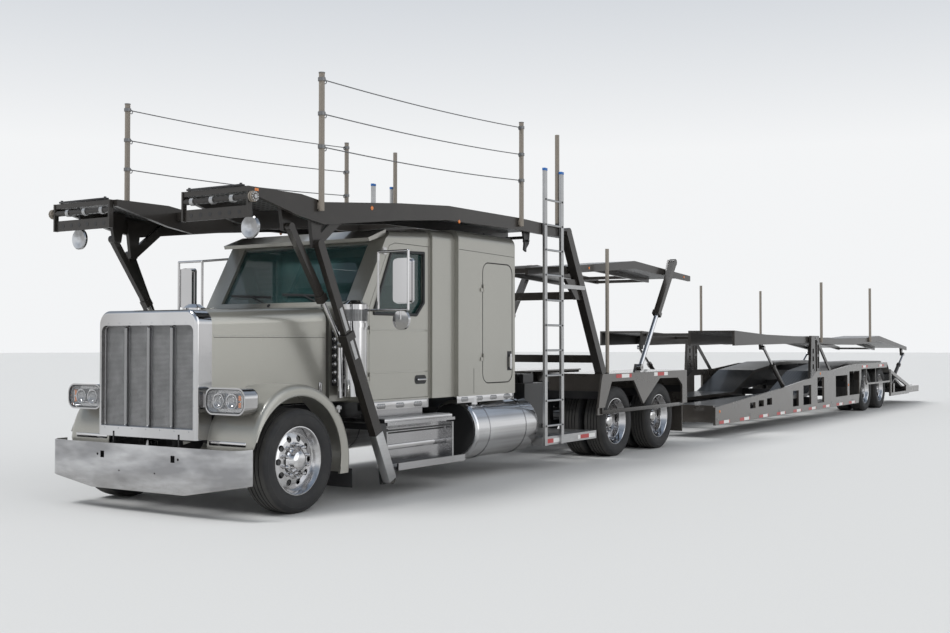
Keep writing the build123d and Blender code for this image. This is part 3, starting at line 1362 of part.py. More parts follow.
def trailer_deck(top, depth, hinge, strut_names, crosses):
    """A trailer deck: two runways, cross tubes, lugs for its struts and its hinge eyes."""
    side = runway(top, depth, RUNWAY_INNER, DECK_X, DECK_BEAM, HEAD_DECK_SKIN)
    for name in strut_names:
        side += deck_lug(name, top, DECK_X - DECK_BEAM)
    near = top[-1] if hinge[0] > top[-1][0] else top[0]
    low = near[1] - 110
    reach = 60 if hinge[0] > near[0] else -60
    arm = slab([(near[0] - reach, near[1]), (hinge[0], hinge[1] + 55), (hinge[0] + reach * 0.8, hinge[1]),
                (hinge[0], hinge[1] - 55), (near[0] - reach, low)], DECK_X - DECK_BEAM, DECK_X)
    side += arm
    side -= cross_rod(hinge, DECK_X - DECK_BEAM - 1, DECK_X + 1, PIN_RADIUS + RUN_CLEARANCE)
    deck = both(side)
    for station in crosses:
        z = height_on(top, station) - 35
        deck += block((-RUNWAY_INNER, RUNWAY_INNER), (station - 40, station + 40), (z - 45, z))
    return deck


def rear_posts():
    """The plain posts that stand on the rear deck's sides."""
    x = DECK_X + POST_RADIUS
    body = Part()
    for s, z in ((16150, 2700), (19800, 2720)):
        body += post(x, s, height_on(REAR_TOP, s), z)
    return both(body)


def main():
    wheels()
    left = knuckle()
    write("knuckle_left", left)
    write("knuckle_right", right(left))
    write("tractor_axles", front_axle() + drive_axles())
    write("tractor_frame", frame_rails() + outriggers() + stinger() + leg_feet())
    write("engine", engine())
    write("bumper", bumper())
    write("cab_shell", cab_shell())
    write("sleeper_shell", sleeper_shell())
    write("windscreen", windscreen())
    write("cab_interior", cab_interior())
    for node, shape in (("door", door()), ("door_glass", door_glass()), ("hatch", hatch())):
        write(f"{node}_left", shape)
        write(f"{node}_right", right(shape))
    write("hood_shell", hood_shell())
    write("grille_crown", grille_crown())
    write("grille", grille())
    write("fenders", both(fender()))
    write("headlamps", headlamps())
    write("air_cleaners", air_cleaners())
    write("mirrors", mirrors())
    write("cab_steps", cab_steps())
    write("fuel_tanks", fuel_tanks())
    write("service_gear", service_gear())
    write("ladders", ladders() + side_boards())
    write("rear_legs", rear_legs())
    write("drive_fenders", drive_fenders() + side_guards() + mid_strut_feet())
    write("head_deck", head_deck() + head_posts())
    write("mid_deck", mid_deck())
    for name in STRUTS:
        barrel, shaft = strut(name)
        if name == "front_leg":
            barrel += lift_pin()
        write(f"{name}_barrels", both(barrel))
        write(f"{name}_rods", both(shaft))
    write("trailer_sides", trailer_sides() + both(inward_pin("trailer_front")))
    write("trailer_chassis", trailer_chassis() + trailer_axles())
    write("trailer_floor", trailer_floor())
    write("trailer_rear_frame", trailer_fenders() + trailer_tail())
    write("trailer_uprights", trailer_uprights())
    write("trailer_front_deck",
          trailer_deck(FRONT_TOP, FRONT_DEPTH, FRONT_HINGE, ("trailer_front",), FRONT_CROSSES))
    rear_deck = trailer_deck(REAR_TOP, REAR_DEPTH, REAR_HINGE, ("trailer_rear",), REAR_CROSSES)
    write("trailer_rear_deck", rear_deck + rear_posts())


main()
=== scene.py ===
"""Finishes and fittings of an articulated car transporter, on the frame of its solids.

Metres, +Z up, +X the lorry's left side and +Y its tail. A station is a distance behind the bumper's
face. The solids keep their shapes; new pieces add the wheels' tread and nuts, the grille's weave, lamps,
rivets, reflectors, mirrors' glass, wipers, handles, hoses and the slack cables between the posts.
"""

from math import cos, pi, radians, sin

import bmesh
import bpy
from mathutils import Matrix, Vector


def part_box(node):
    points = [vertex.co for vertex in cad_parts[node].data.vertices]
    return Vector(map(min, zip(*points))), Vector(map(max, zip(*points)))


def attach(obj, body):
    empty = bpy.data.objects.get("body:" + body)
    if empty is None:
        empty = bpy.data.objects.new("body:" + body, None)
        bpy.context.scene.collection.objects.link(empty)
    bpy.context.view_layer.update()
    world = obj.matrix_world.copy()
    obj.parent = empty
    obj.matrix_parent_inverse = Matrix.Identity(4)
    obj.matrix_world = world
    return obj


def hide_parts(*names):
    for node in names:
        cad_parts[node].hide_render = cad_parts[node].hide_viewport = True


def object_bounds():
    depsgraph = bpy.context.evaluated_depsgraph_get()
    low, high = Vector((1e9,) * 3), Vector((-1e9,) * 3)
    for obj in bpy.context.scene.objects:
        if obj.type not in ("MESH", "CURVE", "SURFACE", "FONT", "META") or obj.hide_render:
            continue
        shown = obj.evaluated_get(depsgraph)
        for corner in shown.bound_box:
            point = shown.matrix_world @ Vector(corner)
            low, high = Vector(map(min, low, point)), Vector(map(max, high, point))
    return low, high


bl_info = {
    "name": "Car Transporter Finish",
    "version": (1, 0, 0),
    "blender": (4, 5, 0),
    "location": "3D View > Sidebar > Transporter",
    "description": "Finishes and fittings of an articulated car transporter",
    "category": "Object",
}

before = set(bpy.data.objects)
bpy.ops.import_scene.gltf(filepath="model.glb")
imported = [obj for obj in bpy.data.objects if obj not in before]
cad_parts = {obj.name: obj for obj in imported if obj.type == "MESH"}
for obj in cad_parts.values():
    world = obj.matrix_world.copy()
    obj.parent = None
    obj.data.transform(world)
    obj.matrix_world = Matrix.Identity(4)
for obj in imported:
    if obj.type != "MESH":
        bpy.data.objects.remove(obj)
CAD_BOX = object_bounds()
FRONT = CAD_BOX[0].y
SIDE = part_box("trailer_sides")[1].x  # half the legal width
SIDES = (("left", 1), ("right", -1))
X_AXIS, Y_AXIS, Z_AXIS = Vector((1, 0, 0)), Vector((0, 1, 0)), Vector((0, 0, 1))
AHEAD = -Y_AXIS


def at(station):
    """Y of a station, in metres behind the bumper's face."""
    return FRONT + station


def point(x, station, z):
    """A point from its offset, station and height."""
    return Vector((x, at(station), z))


def extent(node):
    """A solid's low and high offset, station and height, as three pairs."""
    low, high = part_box(node)
    return (low.x, high.x), (low.y - FRONT, high.y - FRONT), (low.z, high.z)


(STEER_IN, STEER_OUT), _, STEER_Z = extent("wheel_steer_left")
(DRIVE_IN, DRIVE_OUT), _, _ = extent("wheel_drive_1_left")
AXLE_Z = sum(STEER_Z) / 2
TYRE_RADIUS = STEER_Z[1] - AXLE_Z
TYRE_HALF = (STEER_OUT - STEER_IN) / 2
STEER_X = (STEER_IN + STEER_OUT) / 2
OUTER_X, INNER_X = DRIVE_OUT - TYRE_HALF, DRIVE_IN + TYRE_HALF


# Shapes


def cuboid(bm, x, s, z, bevel=0.0):
    """A block from its low and high offset, station and height, with its edges eased."""
    low, high = point(x[0], s[0], z[0]), point(x[1], s[1], z[1])
    placed = Matrix.Translation((low + high) / 2) @ Matrix.Diagonal((*(high - low), 1))
    made = bmesh.ops.create_cube(bm, size=1, matrix=placed)
    if bevel:
        ease(bm, made["verts"], bevel)


def ease(bm, verts, width, segments=2):
    """Rounds the edges between some vertices."""
    edges = {edge for vert in verts for edge in vert.link_edges}
    bmesh.ops.bevel(bm, geom=list(edges), affect="EDGES", offset=width, segments=segments, profile=0.5,
                    material=-1, clamp_overlap=True)


def rod(bm, a, b, radius, sides=16, end_radius=None):
    """A round bar between two points, or a taper where an end radius is given."""
    run = b - a
    turn = run.to_track_quat("Z", "Y").to_matrix().to_4x4()
    bmesh.ops.create_cone(bm, cap_ends=True, segments=sides, radius1=radius,
                          radius2=radius if end_radius is None else end_radius, depth=run.length,
                          matrix=Matrix.Translation((a + b) / 2) @ turn)


def ball(bm, centre, radius, flat=1.0, along=Z_AXIS, sides=16):
    """A ball, flattened along an axis by a share."""
    turn = along.to_track_quat("Z", "Y").to_matrix().to_4x4()
    scale = Matrix.Diagonal((1, 1, flat, 1))
    bmesh.ops.create_uvsphere(bm, u_segments=sides, v_segments=sides // 2, radius=radius,
                              matrix=Matrix.Translation(centre) @ turn @ scale)


def beam(bm, a, b, width, depth, across=X_AXIS, bevel=0.0):
    """A square-cut bar between two points, width along across and depth over it."""
    run = b - a
    z_axis = run.normalized()
    y_axis = z_axis.cross(across).normalized()
    x_axis = y_axis.cross(z_axis)
    turn = Matrix((x_axis, y_axis, z_axis)).transposed().to_4x4()
    scale = Matrix.Diagonal((width, depth, run.length, 1))
    made = bmesh.ops.create_cube(bm, size=1, matrix=Matrix.Translation((a + b) / 2) @ turn @ scale)
    if bevel:
        ease(bm, made["verts"], bevel)


def turned(bm, profile, centre, axis=X_AXIS, steps=48):
    """A ring or dish: a profile of (distance along the axis, radius) spun about the axis."""
    side = axis.orthogonal().normalized()
    verts = [bm.verts.new(centre + axis * along + side * radius) for along, radius in profile]
    edges = [bm.edges.new(pair) for pair in zip(verts, verts[1:])]
    bmesh.ops.spin(bm, geom=verts + edges, cent=centre, axis=axis, angle=2 * pi, steps=steps, use_merge=True,
                   use_duplicate=False)
    closed = [v for v in bm.verts if v.is_valid]
    bmesh.ops.remove_doubles(bm, verts=closed, dist=1e-6)


def prism(bm, corners, normal, thickness):
    """A flat plate from its corner points, thickened along a normal."""
    face = bm.faces.new([bm.verts.new(corner) for corner in corners])
    grown = bmesh.ops.extrude_face_region(bm, geom=[face])
    moved = [item for item in grown["geom"] if isinstance(item, bmesh.types.BMVert)]
    bmesh.ops.translate(bm, verts=moved, vec=normal * thickness)


def side_prism(bm, corners, x0, x1):
    """A plate in the lorry's side plane from (station, height) corners, from x0 to x1."""
    prism(bm, [point(x0, s, z) for s, z in corners], X_AXIS, x1 - x0)


def circle(radius, count, shift=0.0):
    """Points round a circle as pairs, the first of them a share of a step past the first axis."""
    turns = [2 * pi * (k + shift) / count for k in range(count)]
    return [(radius * cos(turn), radius * sin(turn)) for turn in turns]


def rounded(x, z, radius, steps=6, square_foot=False):
    """Points round a rectangle from low to high in x and z, with its corners, or only the upper, rounded."""
    middles = [(x[1] - radius, z[1] - radius), (x[0] + radius, z[1] - radius)]
    if not square_foot:
        middles += [(x[0] + radius, z[0] + radius), (x[1] - radius, z[0] + radius)]
    points = []
    for quarter, (mx, mz) in enumerate(middles):
        for k in range(steps + 1):
            turn = pi / 2 * (quarter + k / steps)
            points.append((mx + radius * cos(turn), mz + radius * sin(turn)))
    return points + [(x[0], z[0]), (x[1], z[0])] * square_foot


def loop_rods(bm, corners, radius, sides=8):
    """Round bars from point to point, closed to a loop."""
    for a, b in zip(corners, corners[1:] + corners[:1]):
        rod(bm, a, b, radius, sides)


def loop_bead(bm, corners, radius):
    """A round bead through points, closed to a loop."""
    loop_rods(bm, corners, radius)
    for corner in corners:
        ball(bm, corner, radius)


def mirrored(bm):
    """Adds the right side's copy of all that a bmesh holds."""
    copy = bmesh.ops.duplicate(bm, geom=bm.verts[:] + bm.edges[:] + bm.faces[:])
    verts = [item for item in copy["geom"] if isinstance(item, bmesh.types.BMVert)]
    bmesh.ops.scale(bm, verts=verts, vec=(-1, 1, 1))


def ridden(name, mesh, body, material):
    """Makes a mesh a piece of one material that rides on a body."""
    mesh.materials.clear()
    mesh.materials.append(material)
    piece = bpy.data.objects.new(name, mesh)
    bpy.context.scene.collection.objects.link(piece)
    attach(piece, body)
    return piece


def finished(bm, name, body, material, replaces=()):
    """Makes a bmesh a piece that rides on a body, in place of the solids that it replaces."""
    bmesh.ops.recalc_face_normals(bm, faces=bm.faces[:])
    mesh = bpy.data.meshes.new(name)
    bm.to_mesh(mesh)
    bm.free()
    mesh.shade_smooth()
    mesh.set_sharp_from_angle(angle=radians(32))
    piece = ridden(name, mesh, body, material)
    if replaces:
        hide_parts(*replaces)


def paired(bm, name, body, material):
    """Copies a shape to the right side, and finishes both as one piece."""
    mirrored(bm)
    finished(bm, name, body, material)


def rope(name, points, radius, body, material):
    """A tube along a smooth curve through given points, as a mesh piece."""
    data = bpy.data.curves.new(name, "CURVE")
    data.dimensions = "3D"
    data.bevel_depth = radius
    data.bevel_resolution = 2
    data.resolution_u = 6
    data.use_fill_caps = True
    spline = data.splines.new("NURBS")
    spline.points.add(len(points) - 1)
    for target, place in zip(spline.points, points):
        target.co = (*place, 1)
    spline.order_u = 3
    spline.use_endpoint_u = True
    source = bpy.data.objects.new(name + "_line", data)
    bpy.context.scene.collection.objects.link(source)
    bpy.context.view_layer.update()
    mesh = bpy.data.meshes.new_from_object(source.evaluated_get(bpy.context.evaluated_depsgraph_get()))
    bpy.data.objects.remove(source)
    mesh.name = name
    mesh.shade_smooth()
    ridden(name, mesh, body, material)


def dress(material, *nodes):
    """Gives solids of the frame a material."""
    for node in nodes:
        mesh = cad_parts[node].data
        if not mesh.materials:
            mesh.materials.append(material)
        for index in range(len(mesh.materials)):
            mesh.materials[index] = material


# Shader maths


class Num:
    """A shader's number, whose sums are written as Python expressions."""

    def __init__(self, shader, socket):
        self.shader = shader
        self.socket = socket

    def math(self, operation, *others):
        values = dict(enumerate((self, *others)))
        made = self.shader.node("ShaderNodeMath", {"operation": operation}, values)
        return Num(self.shader, made.outputs[0])

    def flipped(self, operation, other):
        made = self.shader.node("ShaderNodeMath", {"operation": operation}, {0: other, 1: self})
        return Num(self.shader, made.outputs[0])

    def __add__(self, other):
        return self.math("ADD", other)

    def __radd__(self, other):
        return self.flipped("ADD", other)

    def __sub__(self, other):
        return self.math("SUBTRACT", other)

    def __rsub__(self, other):
        return self.flipped("SUBTRACT", other)

    def __mul__(self, other):
        return self.math("MULTIPLY", other)

    def __rmul__(self, other):
        return self.flipped("MULTIPLY", other)

    def __truediv__(self, other):
        return self.math("DIVIDE", other)

    def __rtruediv__(self, other):
        return self.flipped("DIVIDE", other)

    def __gt__(self, other):
        return self.math("GREATER_THAN", other)

    def __lt__(self, other):
        return self.math("LESS_THAN", other)

    def __abs__(self):
        return self.math("ABSOLUTE")

    def fraction(self):
        return self.math("FRACT")

    def between(self, low, high):
        """1 where the number lies between two values, else 0."""
        return (self > low) * (self < high)

    def ramp(self, low, high):
        """0 up to the low value, 1 from the high one, and even between them."""
        made = self.shader.node("ShaderNodeMapRange", {"clamp": True},
                                {"Value": self, "From Min": low, "From Max": high})
        return Num(self.shader, made.outputs[0])


class Tree:
    """A node tree, with one method that makes any node."""

    def __init__(self, tree):
        self.tree = tree
        tree.nodes.clear()

    def node(self, kind, settings=None, sockets=None):
        """Makes a node: its settings first, such as an operation or a ramp's stops, then its sockets."""
        made = self.tree.nodes.new(kind)
        for key, value in (settings or {}).items():
            if key == "stops":
                elements = made.color_ramp.elements
                while len(elements) < len(value):
                    elements.new(0.5)
                for element, (place, colour) in zip(elements, value):
                    element.position = place
                    element.color = (*colour, 1)
            else:
                setattr(made, key, value)
        for key, value in (sockets or {}).items():
            self.put(made.inputs[key], value)
        return made

    def put(self, socket, value):
        """Links a socket to a number or an output, or sets its value."""
        if isinstance(value, Num):
            self.tree.links.new(value.socket, socket)
        elif isinstance(value, bpy.types.NodeSocket):
            self.tree.links.new(value, socket)
        elif isinstance(value, tuple) and len(value) == 3 and socket.type == "RGBA":
            socket.default_value = (*value, 1)
        else:
            socket.default_value = value

    def coordinates(self, kind):
        return self.node("ShaderNodeTexCoord").outputs[kind]

    def axes(self, kind):
        """X, Y and Z numbers of the object's own place, of the surface's normal or of a ray."""
        split = self.node("ShaderNodeSeparateXYZ", None, {0: self.coordinates(kind)})
        return tuple(Num(self, split.outputs[axis]) for axis in range(3))


class Shader(Tree):
    """A material built on one Principled surface."""

    def __init__(self, name, colour, roughness=0.5, metallic=0.0, coat=0.0, alpha=1.0):
        self.material = bpy.data.materials.new(name)
        self.material.use_nodes = True
        super().__init__(self.material.node_tree)
        self.surface = self.node("ShaderNodeBsdfPrincipled", None, {
            "Base Color": colour, "Roughness": roughness, "Metallic": metallic, "Coat Weight": coat,
            "Coat Roughness": 0.06, "Alpha": alpha,
        })
        self.node("ShaderNodeOutputMaterial", None, {"Surface": self.surface.outputs[0]})
        self.material.diffuse_color = (*colour, 1)

    def noise(self, scale, detail=2.0, roughness=0.5, stretch=(1, 1, 1), of="Object"):
        """A cloudy number from 0 to 1 at a scale per metre, or by the surface's own direction."""
        mapped = self.node("ShaderNodeMapping", None,
                           {"Vector": self.coordinates(of), "Scale": Vector(stretch)})
        made = self.node("ShaderNodeTexNoise", None,
                         {"Vector": mapped.outputs[0], "Scale": scale, "Detail": detail,
                          "Roughness": roughness})
        return Num(self, made.outputs["Fac"])

    def mix(self, share, a, b):
        """A colour between two, by a share."""
        made = self.node("ShaderNodeMix", {"data_type": "RGBA"}, {0: share, 6: a, 7: b})
        return made.outputs[2]

    def colour(self, value):
        self.put(self.surface.inputs["Base Color"], value)

    def rough(self, value):
        self.put(self.surface.inputs["Roughness"], value)

    def metal(self, value):
        self.put(self.surface.inputs["Metallic"], value)

    def bump(self, height, strength=0.3, distance=0.002):
        values = {"Height": height, "Strength": strength, "Distance": distance}
        made = self.node("ShaderNodeBump", None, values)
        self.put(self.surface.inputs["Normal"], made.outputs[0])


# Finishes

RUBBER_DUST = (0.10, 0.095, 0.085)
TAPE_RED = (0.43, 0.009, 0.009)
TAPE_WHITE = (0.78, 0.78, 0.76)
AMBER = (0.90, 0.24, 0.015)
CHROME = (0.70, 0.70, 0.71)
TAPE_PITCH = 0.46  # length of one red and one white stretch of reflector tape
MESH_PITCH = 0.011  # of the grille's weave
HOLE_PITCH = 0.058  # of the runways' perforation
HEAD_RAIL_X = 1.266  # just outside the head deck's side beams
LOW_RAIL_X = 1.237  # just outside the trailer decks' side beams
HEAD_POSTS_Z = 2.965  # just over the head deck's top, above which only its posts rise
LOW_POSTS_Z = 1.750
RUNWAY_SKIN = (0.465, 1.19)  # offsets between a deck's inner and outer beams


def shade(colour, share, lift=0.0):
    """A colour made lighter or darker by a share."""
    return tuple(min(1, part * share + lift) for part in colour)


def metallic_paint(name, colour, roughness=0.30, metallic=0.55):
    """Metallic lacquer: flakes, a faint orange peel and a film of dust that grows towards the ground."""
    shader = Shader(name, colour, roughness, metallic, coat=0.7)
    flake = shader.noise(900, 1)
    cloud = shader.noise(1.6, 4, 0.6)
    z = shader.axes("Object")[2]
    dust = (1 - z.ramp(0.2, 1.5)) * cloud.ramp(0.35, 0.75) * 0.35
    lacquer = shader.mix(flake.ramp(0.35, 0.65), shade(colour, 0.86), shade(colour, 1.25, 0.015))
    shader.colour(shader.mix(dust, lacquer, (0.24, 0.22, 0.19)))
    shader.rough(cloud * 0.08 + dust * 0.5 + (roughness - 0.04))
    shader.bump(shader.noise(160, 2), 0.04, 0.001)
    return shader.material


def frame_paint(name, colour, roughness=0.32):
    """Chassis paint: gloss that dulls where road dust lies, with fine scratches."""
    shader = Shader(name, colour, roughness, 0.0, coat=0.25)
    shader.surface.inputs["Specular IOR Level"].default_value = 0.35
    cloud = shader.noise(2.2, 5, 0.65)
    scratch = shader.noise(60, 3, 0.7, (1, 0.06, 1))
    dust = shader.axes("Normal")[2].ramp(0.2, 1.0) * 0.25 + cloud.ramp(0.5, 0.8) * 0.15
    worn = scratch.ramp(0.70, 0.74) * 0.25
    base = shader.mix(dust, colour, (0.10, 0.092, 0.083))
    shader.colour(shader.mix(worn, base, shade(colour, 1, 0.09)))
    shader.rough(dust * 0.6 + cloud * 0.12 + (roughness - 0.06))
    shader.bump(cloud + scratch * 0.3, 0.06, 0.001)
    return shader.material


def polished_metal(name, colour=CHROME, roughness=0.05, waves=0.12, tone=0.7):
    """Chrome or polished alloy: painted reflections as light and brown-grey fields fixed to the surface's
    direction, painted shade on faces that look down, faint waves, smears and water spots.
    """
    shader = Shader(name, colour, roughness, 1.0)
    smear = shader.noise(7, 4, 0.6)
    spots = shader.noise(120, 2, 0.5)
    # painted reflection: bands of light and brown-grey that follow the surface's direction, standing for
    # mirrored surroundings
    painted_reflection_bands = shader.noise(2.3, 2, 0.5, (1, 1, 1.6), "Normal")
    painted_reflection_fields = painted_reflection_bands * 0.6 + shader.noise(0.9, 2, 0.5, (1, 1, 0.5)) * 0.4
    # painted shade: faces that look down are darkened, as if they mirrored the dark ground
    painted_underside_shade = (1 - shader.axes("Normal")[2].ramp(-0.9, 0.25)) * 0.45
    # tone sets how deep the painted reflections and the painted shade are
    darker = (1 - painted_reflection_fields.ramp(0.40, 0.56)) * tone * 0.7 + painted_underside_shade * tone
    brown = (colour[0] * 0.30, colour[1] * 0.275, colour[2] * 0.25)
    with_painted_reflections = shader.mix(darker.ramp(0.0, 1.0), colour, brown)
    shader.colour(shader.mix(spots.ramp(0.66, 0.74) * 0.25, with_painted_reflections, shade(colour, 0.55)))
    shader.rough(smear.ramp(0.4, 0.8) * 0.10 + spots.ramp(0.6, 0.75) * 0.10 + roughness)
    shader.bump(shader.noise(3.5, 1), waves, 0.01)
    return shader.material


def bumper_plate(name):
    """The bumper's plate: faint waves of its rolling with painted reflection bands along them, wiped streaks
    that are partly painted reflection, and a darker foot that is partly road film and partly painted
    reflection of the ground.
    """
    shader = Shader(name, (0.60, 0.60, 0.61), 0.07, 1.0)
    z = shader.axes("Object")[2]
    wave = shader.noise(1.3, 3, 0.6, (1, 1, 3.2))
    streak = shader.noise(16, 4, 0.7, (0.25, 1, 1))
    spots = shader.noise(110, 2, 0.5)
    # darker towards the foot: partly road film, partly painted reflection of the dark ground
    film = (1 - z.ramp(0.20, 0.42)) * (streak * 0.6 + 0.25)
    # light and dark bands along the rolling waves: painted reflection
    painted_wave_reflection = shader.mix(wave.ramp(0.38, 0.60), (0.34, 0.34, 0.35), (0.64, 0.64, 0.65))
    # darker streaks: wiped streaks, partly painted reflection
    streaked = shader.mix(streak.ramp(0.45, 0.75) * 0.35, painted_wave_reflection, (0.36, 0.35, 0.345))
    shader.colour(shader.mix(film, streaked, (0.27, 0.26, 0.245)))
    shader.rough(spots.ramp(0.6, 0.75) * 0.10 + streak.ramp(0.4, 0.8) * 0.08 + film * 0.25 + 0.06)
    shader.bump(wave, 0.5, 0.02)
    return shader.material


def brushed_metal(name, colour, roughness=0.38, grain=(1, 0.03, 1)):
    """Plain alloy or steel with its drawing lines and dull patches."""
    shader = Shader(name, colour, roughness, 1.0)
    line = shader.noise(220, 3, 0.6, grain)
    patch = shader.noise(5, 4, 0.6)
    tone = line * 0.5 + patch * 0.5
    shader.colour(shader.mix(tone.ramp(0.3, 0.7), shade(colour, 0.72), colour))
    shader.rough(patch * 0.2 + (roughness - 0.08))
    shader.bump(line, 0.08, 0.0006)
    return shader.material


def galvanised(name, colour=(0.30, 0.27, 0.23)):
    """Weathered steel tube: a dull spangle with rust freckles."""
    shader = Shader(name, colour, 0.62, 0.35)
    spangle = shader.noise(45, 4, 0.7)
    rust = shader.noise(14, 5, 0.7).ramp(0.60, 0.72)
    base = shader.mix(spangle, shade(colour, 0.7), shade(colour, 1.25))
    shader.colour(shader.mix(rust * 0.4, base, (0.16, 0.09, 0.05)))
    shader.rough(spangle * 0.2 + 0.5)
    shader.bump(spangle, 0.15, 0.001)
    return shader.material


def rubber(name):
    """Tyre rubber: black walls and a dusty tread."""
    shader = Shader(name, (0.018, 0.018, 0.019))
    cloud = shader.noise(6, 5, 0.65)
    grit = shader.noise(140, 3, 0.6)
    tread = 1 - abs(shader.axes("Normal")[0]).ramp(0.25, 0.7)
    dust = tread * 0.35 + cloud.ramp(0.4, 0.8) * 0.25
    shader.colour(shader.mix(dust, (0.014, 0.014, 0.015), RUBBER_DUST))
    shader.rough(cloud * 0.2 + 0.62)
    shader.bump(grit, 0.2, 0.001)
    return shader.material


def tinted_glass(name, colour, alpha):
    """Window glass with a green-black tint, rain spots and a clean gloss."""
    shader = Shader(name, colour, 0.03, 0.0, coat=0.2, alpha=alpha)
    shader.surface.inputs["Specular IOR Level"].default_value = 0.75
    spots = shader.noise(70, 2, 0.5).ramp(0.70, 0.74)
    shader.colour(shader.mix(spots * 0.3, colour, (0.30, 0.31, 0.30)))
    shader.rough(spots * 0.2 + 0.03)
    return shader.material


def lamp_lens(name, colour, alpha=1.0, ribs=0.012):
    """A coloured lamp lens with moulded ribs."""
    shader = Shader(name, colour, 0.12, 0.0, coat=0.6, alpha=alpha)
    x, y, _ = shader.axes("Object")
    rib = abs(((y + x) / ribs).fraction() - 0.5)
    shader.colour(shader.mix(rib * 1.2, shade(colour, 0.7), colour))
    shader.bump(rib, 0.35, 0.002)
    return shader.material


def reflector_tape(name):
    """Reflector tape in turns of red and white along the lorry, with its faint honeycomb."""
    shader = Shader(name, TAPE_WHITE, 0.35, 0.0, coat=0.2)
    turn = (shader.axes("Object")[1] / TAPE_PITCH).fraction() > 0.5
    comb = shader.node("ShaderNodeTexVoronoi", {"feature": "DISTANCE_TO_EDGE"},
                       {"Vector": shader.coordinates("Object"), "Scale": 220})
    edge = Num(shader, comb.outputs[0]).ramp(0.0, 0.08)
    tape = shader.mix(turn, TAPE_WHITE, TAPE_RED)
    shader.colour(shader.mix(edge * 0.2 + 0.8, (0.25, 0.25, 0.24), tape))
    return shader.material


def moulded_plastic(name, colour, roughness=0.55, grain=0.15):
    """Moulded plastic with a fine pebbled skin."""
    shader = Shader(name, colour, roughness)
    pebble = shader.noise(420, 2, 0.5)
    cloud = shader.noise(4, 3)
    shader.colour(shader.mix(cloud, shade(colour, 0.85), shade(colour, 1.15)))
    shader.rough(cloud * 0.1 + (roughness - 0.05))
    shader.bump(pebble, grain, 0.0006)
    return shader.material


def woven_wire(name):
    """The grille's weave of bright wire, with painted shade in its gaps for the dark space behind it."""
    shader = Shader(name, (0.42, 0.42, 0.43), 0.3, 0.9)
    x, _, z = shader.axes("Object")
    across, up = (abs((way / MESH_PITCH).fraction() - 0.5) for way in (x, z))
    wires = (1 - across.ramp(0.16, 0.30)) + (1 - up.ramp(0.16, 0.30))
    mesh = wires.ramp(0.1, 0.9)
    cloud = shader.noise(9, 3)
    wire = shader.mix(cloud, (0.17, 0.17, 0.17), (0.36, 0.36, 0.36))
    # painted shade: the gaps between the wires are near-black, standing for the dark space behind the weave
    shader.colour(shader.mix(mesh, (0.010, 0.010, 0.011), wire))
    shader.metal(mesh * 0.9)
    shader.rough(0.7 - mesh * 0.35)
    shader.bump(mesh, 0.6, 0.003)
    return shader.material


def deck_finish(name, posts_x, posts_z, skin_x, colour=(0.026, 0.023, 0.0205), alloy=(0.15, 0.36)):
    """A deck: gloss side beams, a pale perforated alloy skin between them with painted shade in its holes,
    and dull steel posts.
    """
    shader = Shader(name, colour, 0.3, 0.0, coat=0.2)
    shader.surface.inputs["Specular IOR Level"].default_value = 0.35
    x, y, z = shader.axes("Object")
    nz = shader.axes("Normal")[2]
    cloud = shader.noise(2.0, 5, 0.65)
    line = shader.noise(160, 3, 0.6, (1, 0.04, 1))
    out = abs(x)
    post = ((out > posts_x) + (z > posts_z)) > 0.5
    flat = abs(nz) > 0.8
    skin = flat * out.between(skin_x[0], skin_x[1])
    top = (nz > 0.8) * (1 - post)
    cell_x, cell_y = ((way / HOLE_PITCH).fraction() - 0.5 for way in (x, y))
    hole = (cell_x * cell_x + cell_y * cell_y) < 0.085
    rolled = shader.mix(line * 0.6 + cloud * 0.4, (alloy[0],) * 3, (alloy[1],) * 3)
    # painted shade: the perforation's holes are near-black, standing for the shade seen through them
    perforated = shader.mix(hole * skin, rolled, (0.015, 0.015, 0.015))
    dust = nz.ramp(0.2, 1.0) * 0.2 + cloud.ramp(0.5, 0.8) * 0.15
    paint = shader.mix(dust, colour, (0.11, 0.10, 0.088))
    plated = skin * (1 - post) + top - skin * top
    surface = shader.mix(plated, paint, perforated)
    shader.colour(shader.mix(post, surface, (0.24, 0.21, 0.175)))
    shader.metal(plated * (1 - hole * skin) * 0.85)
    shader.rough(plated * 0.12 + post * 0.3 + cloud * 0.12 + 0.24)
    shader.bump(line * 0.3 - hole * skin, 0.25, 0.002)
    return shader.material


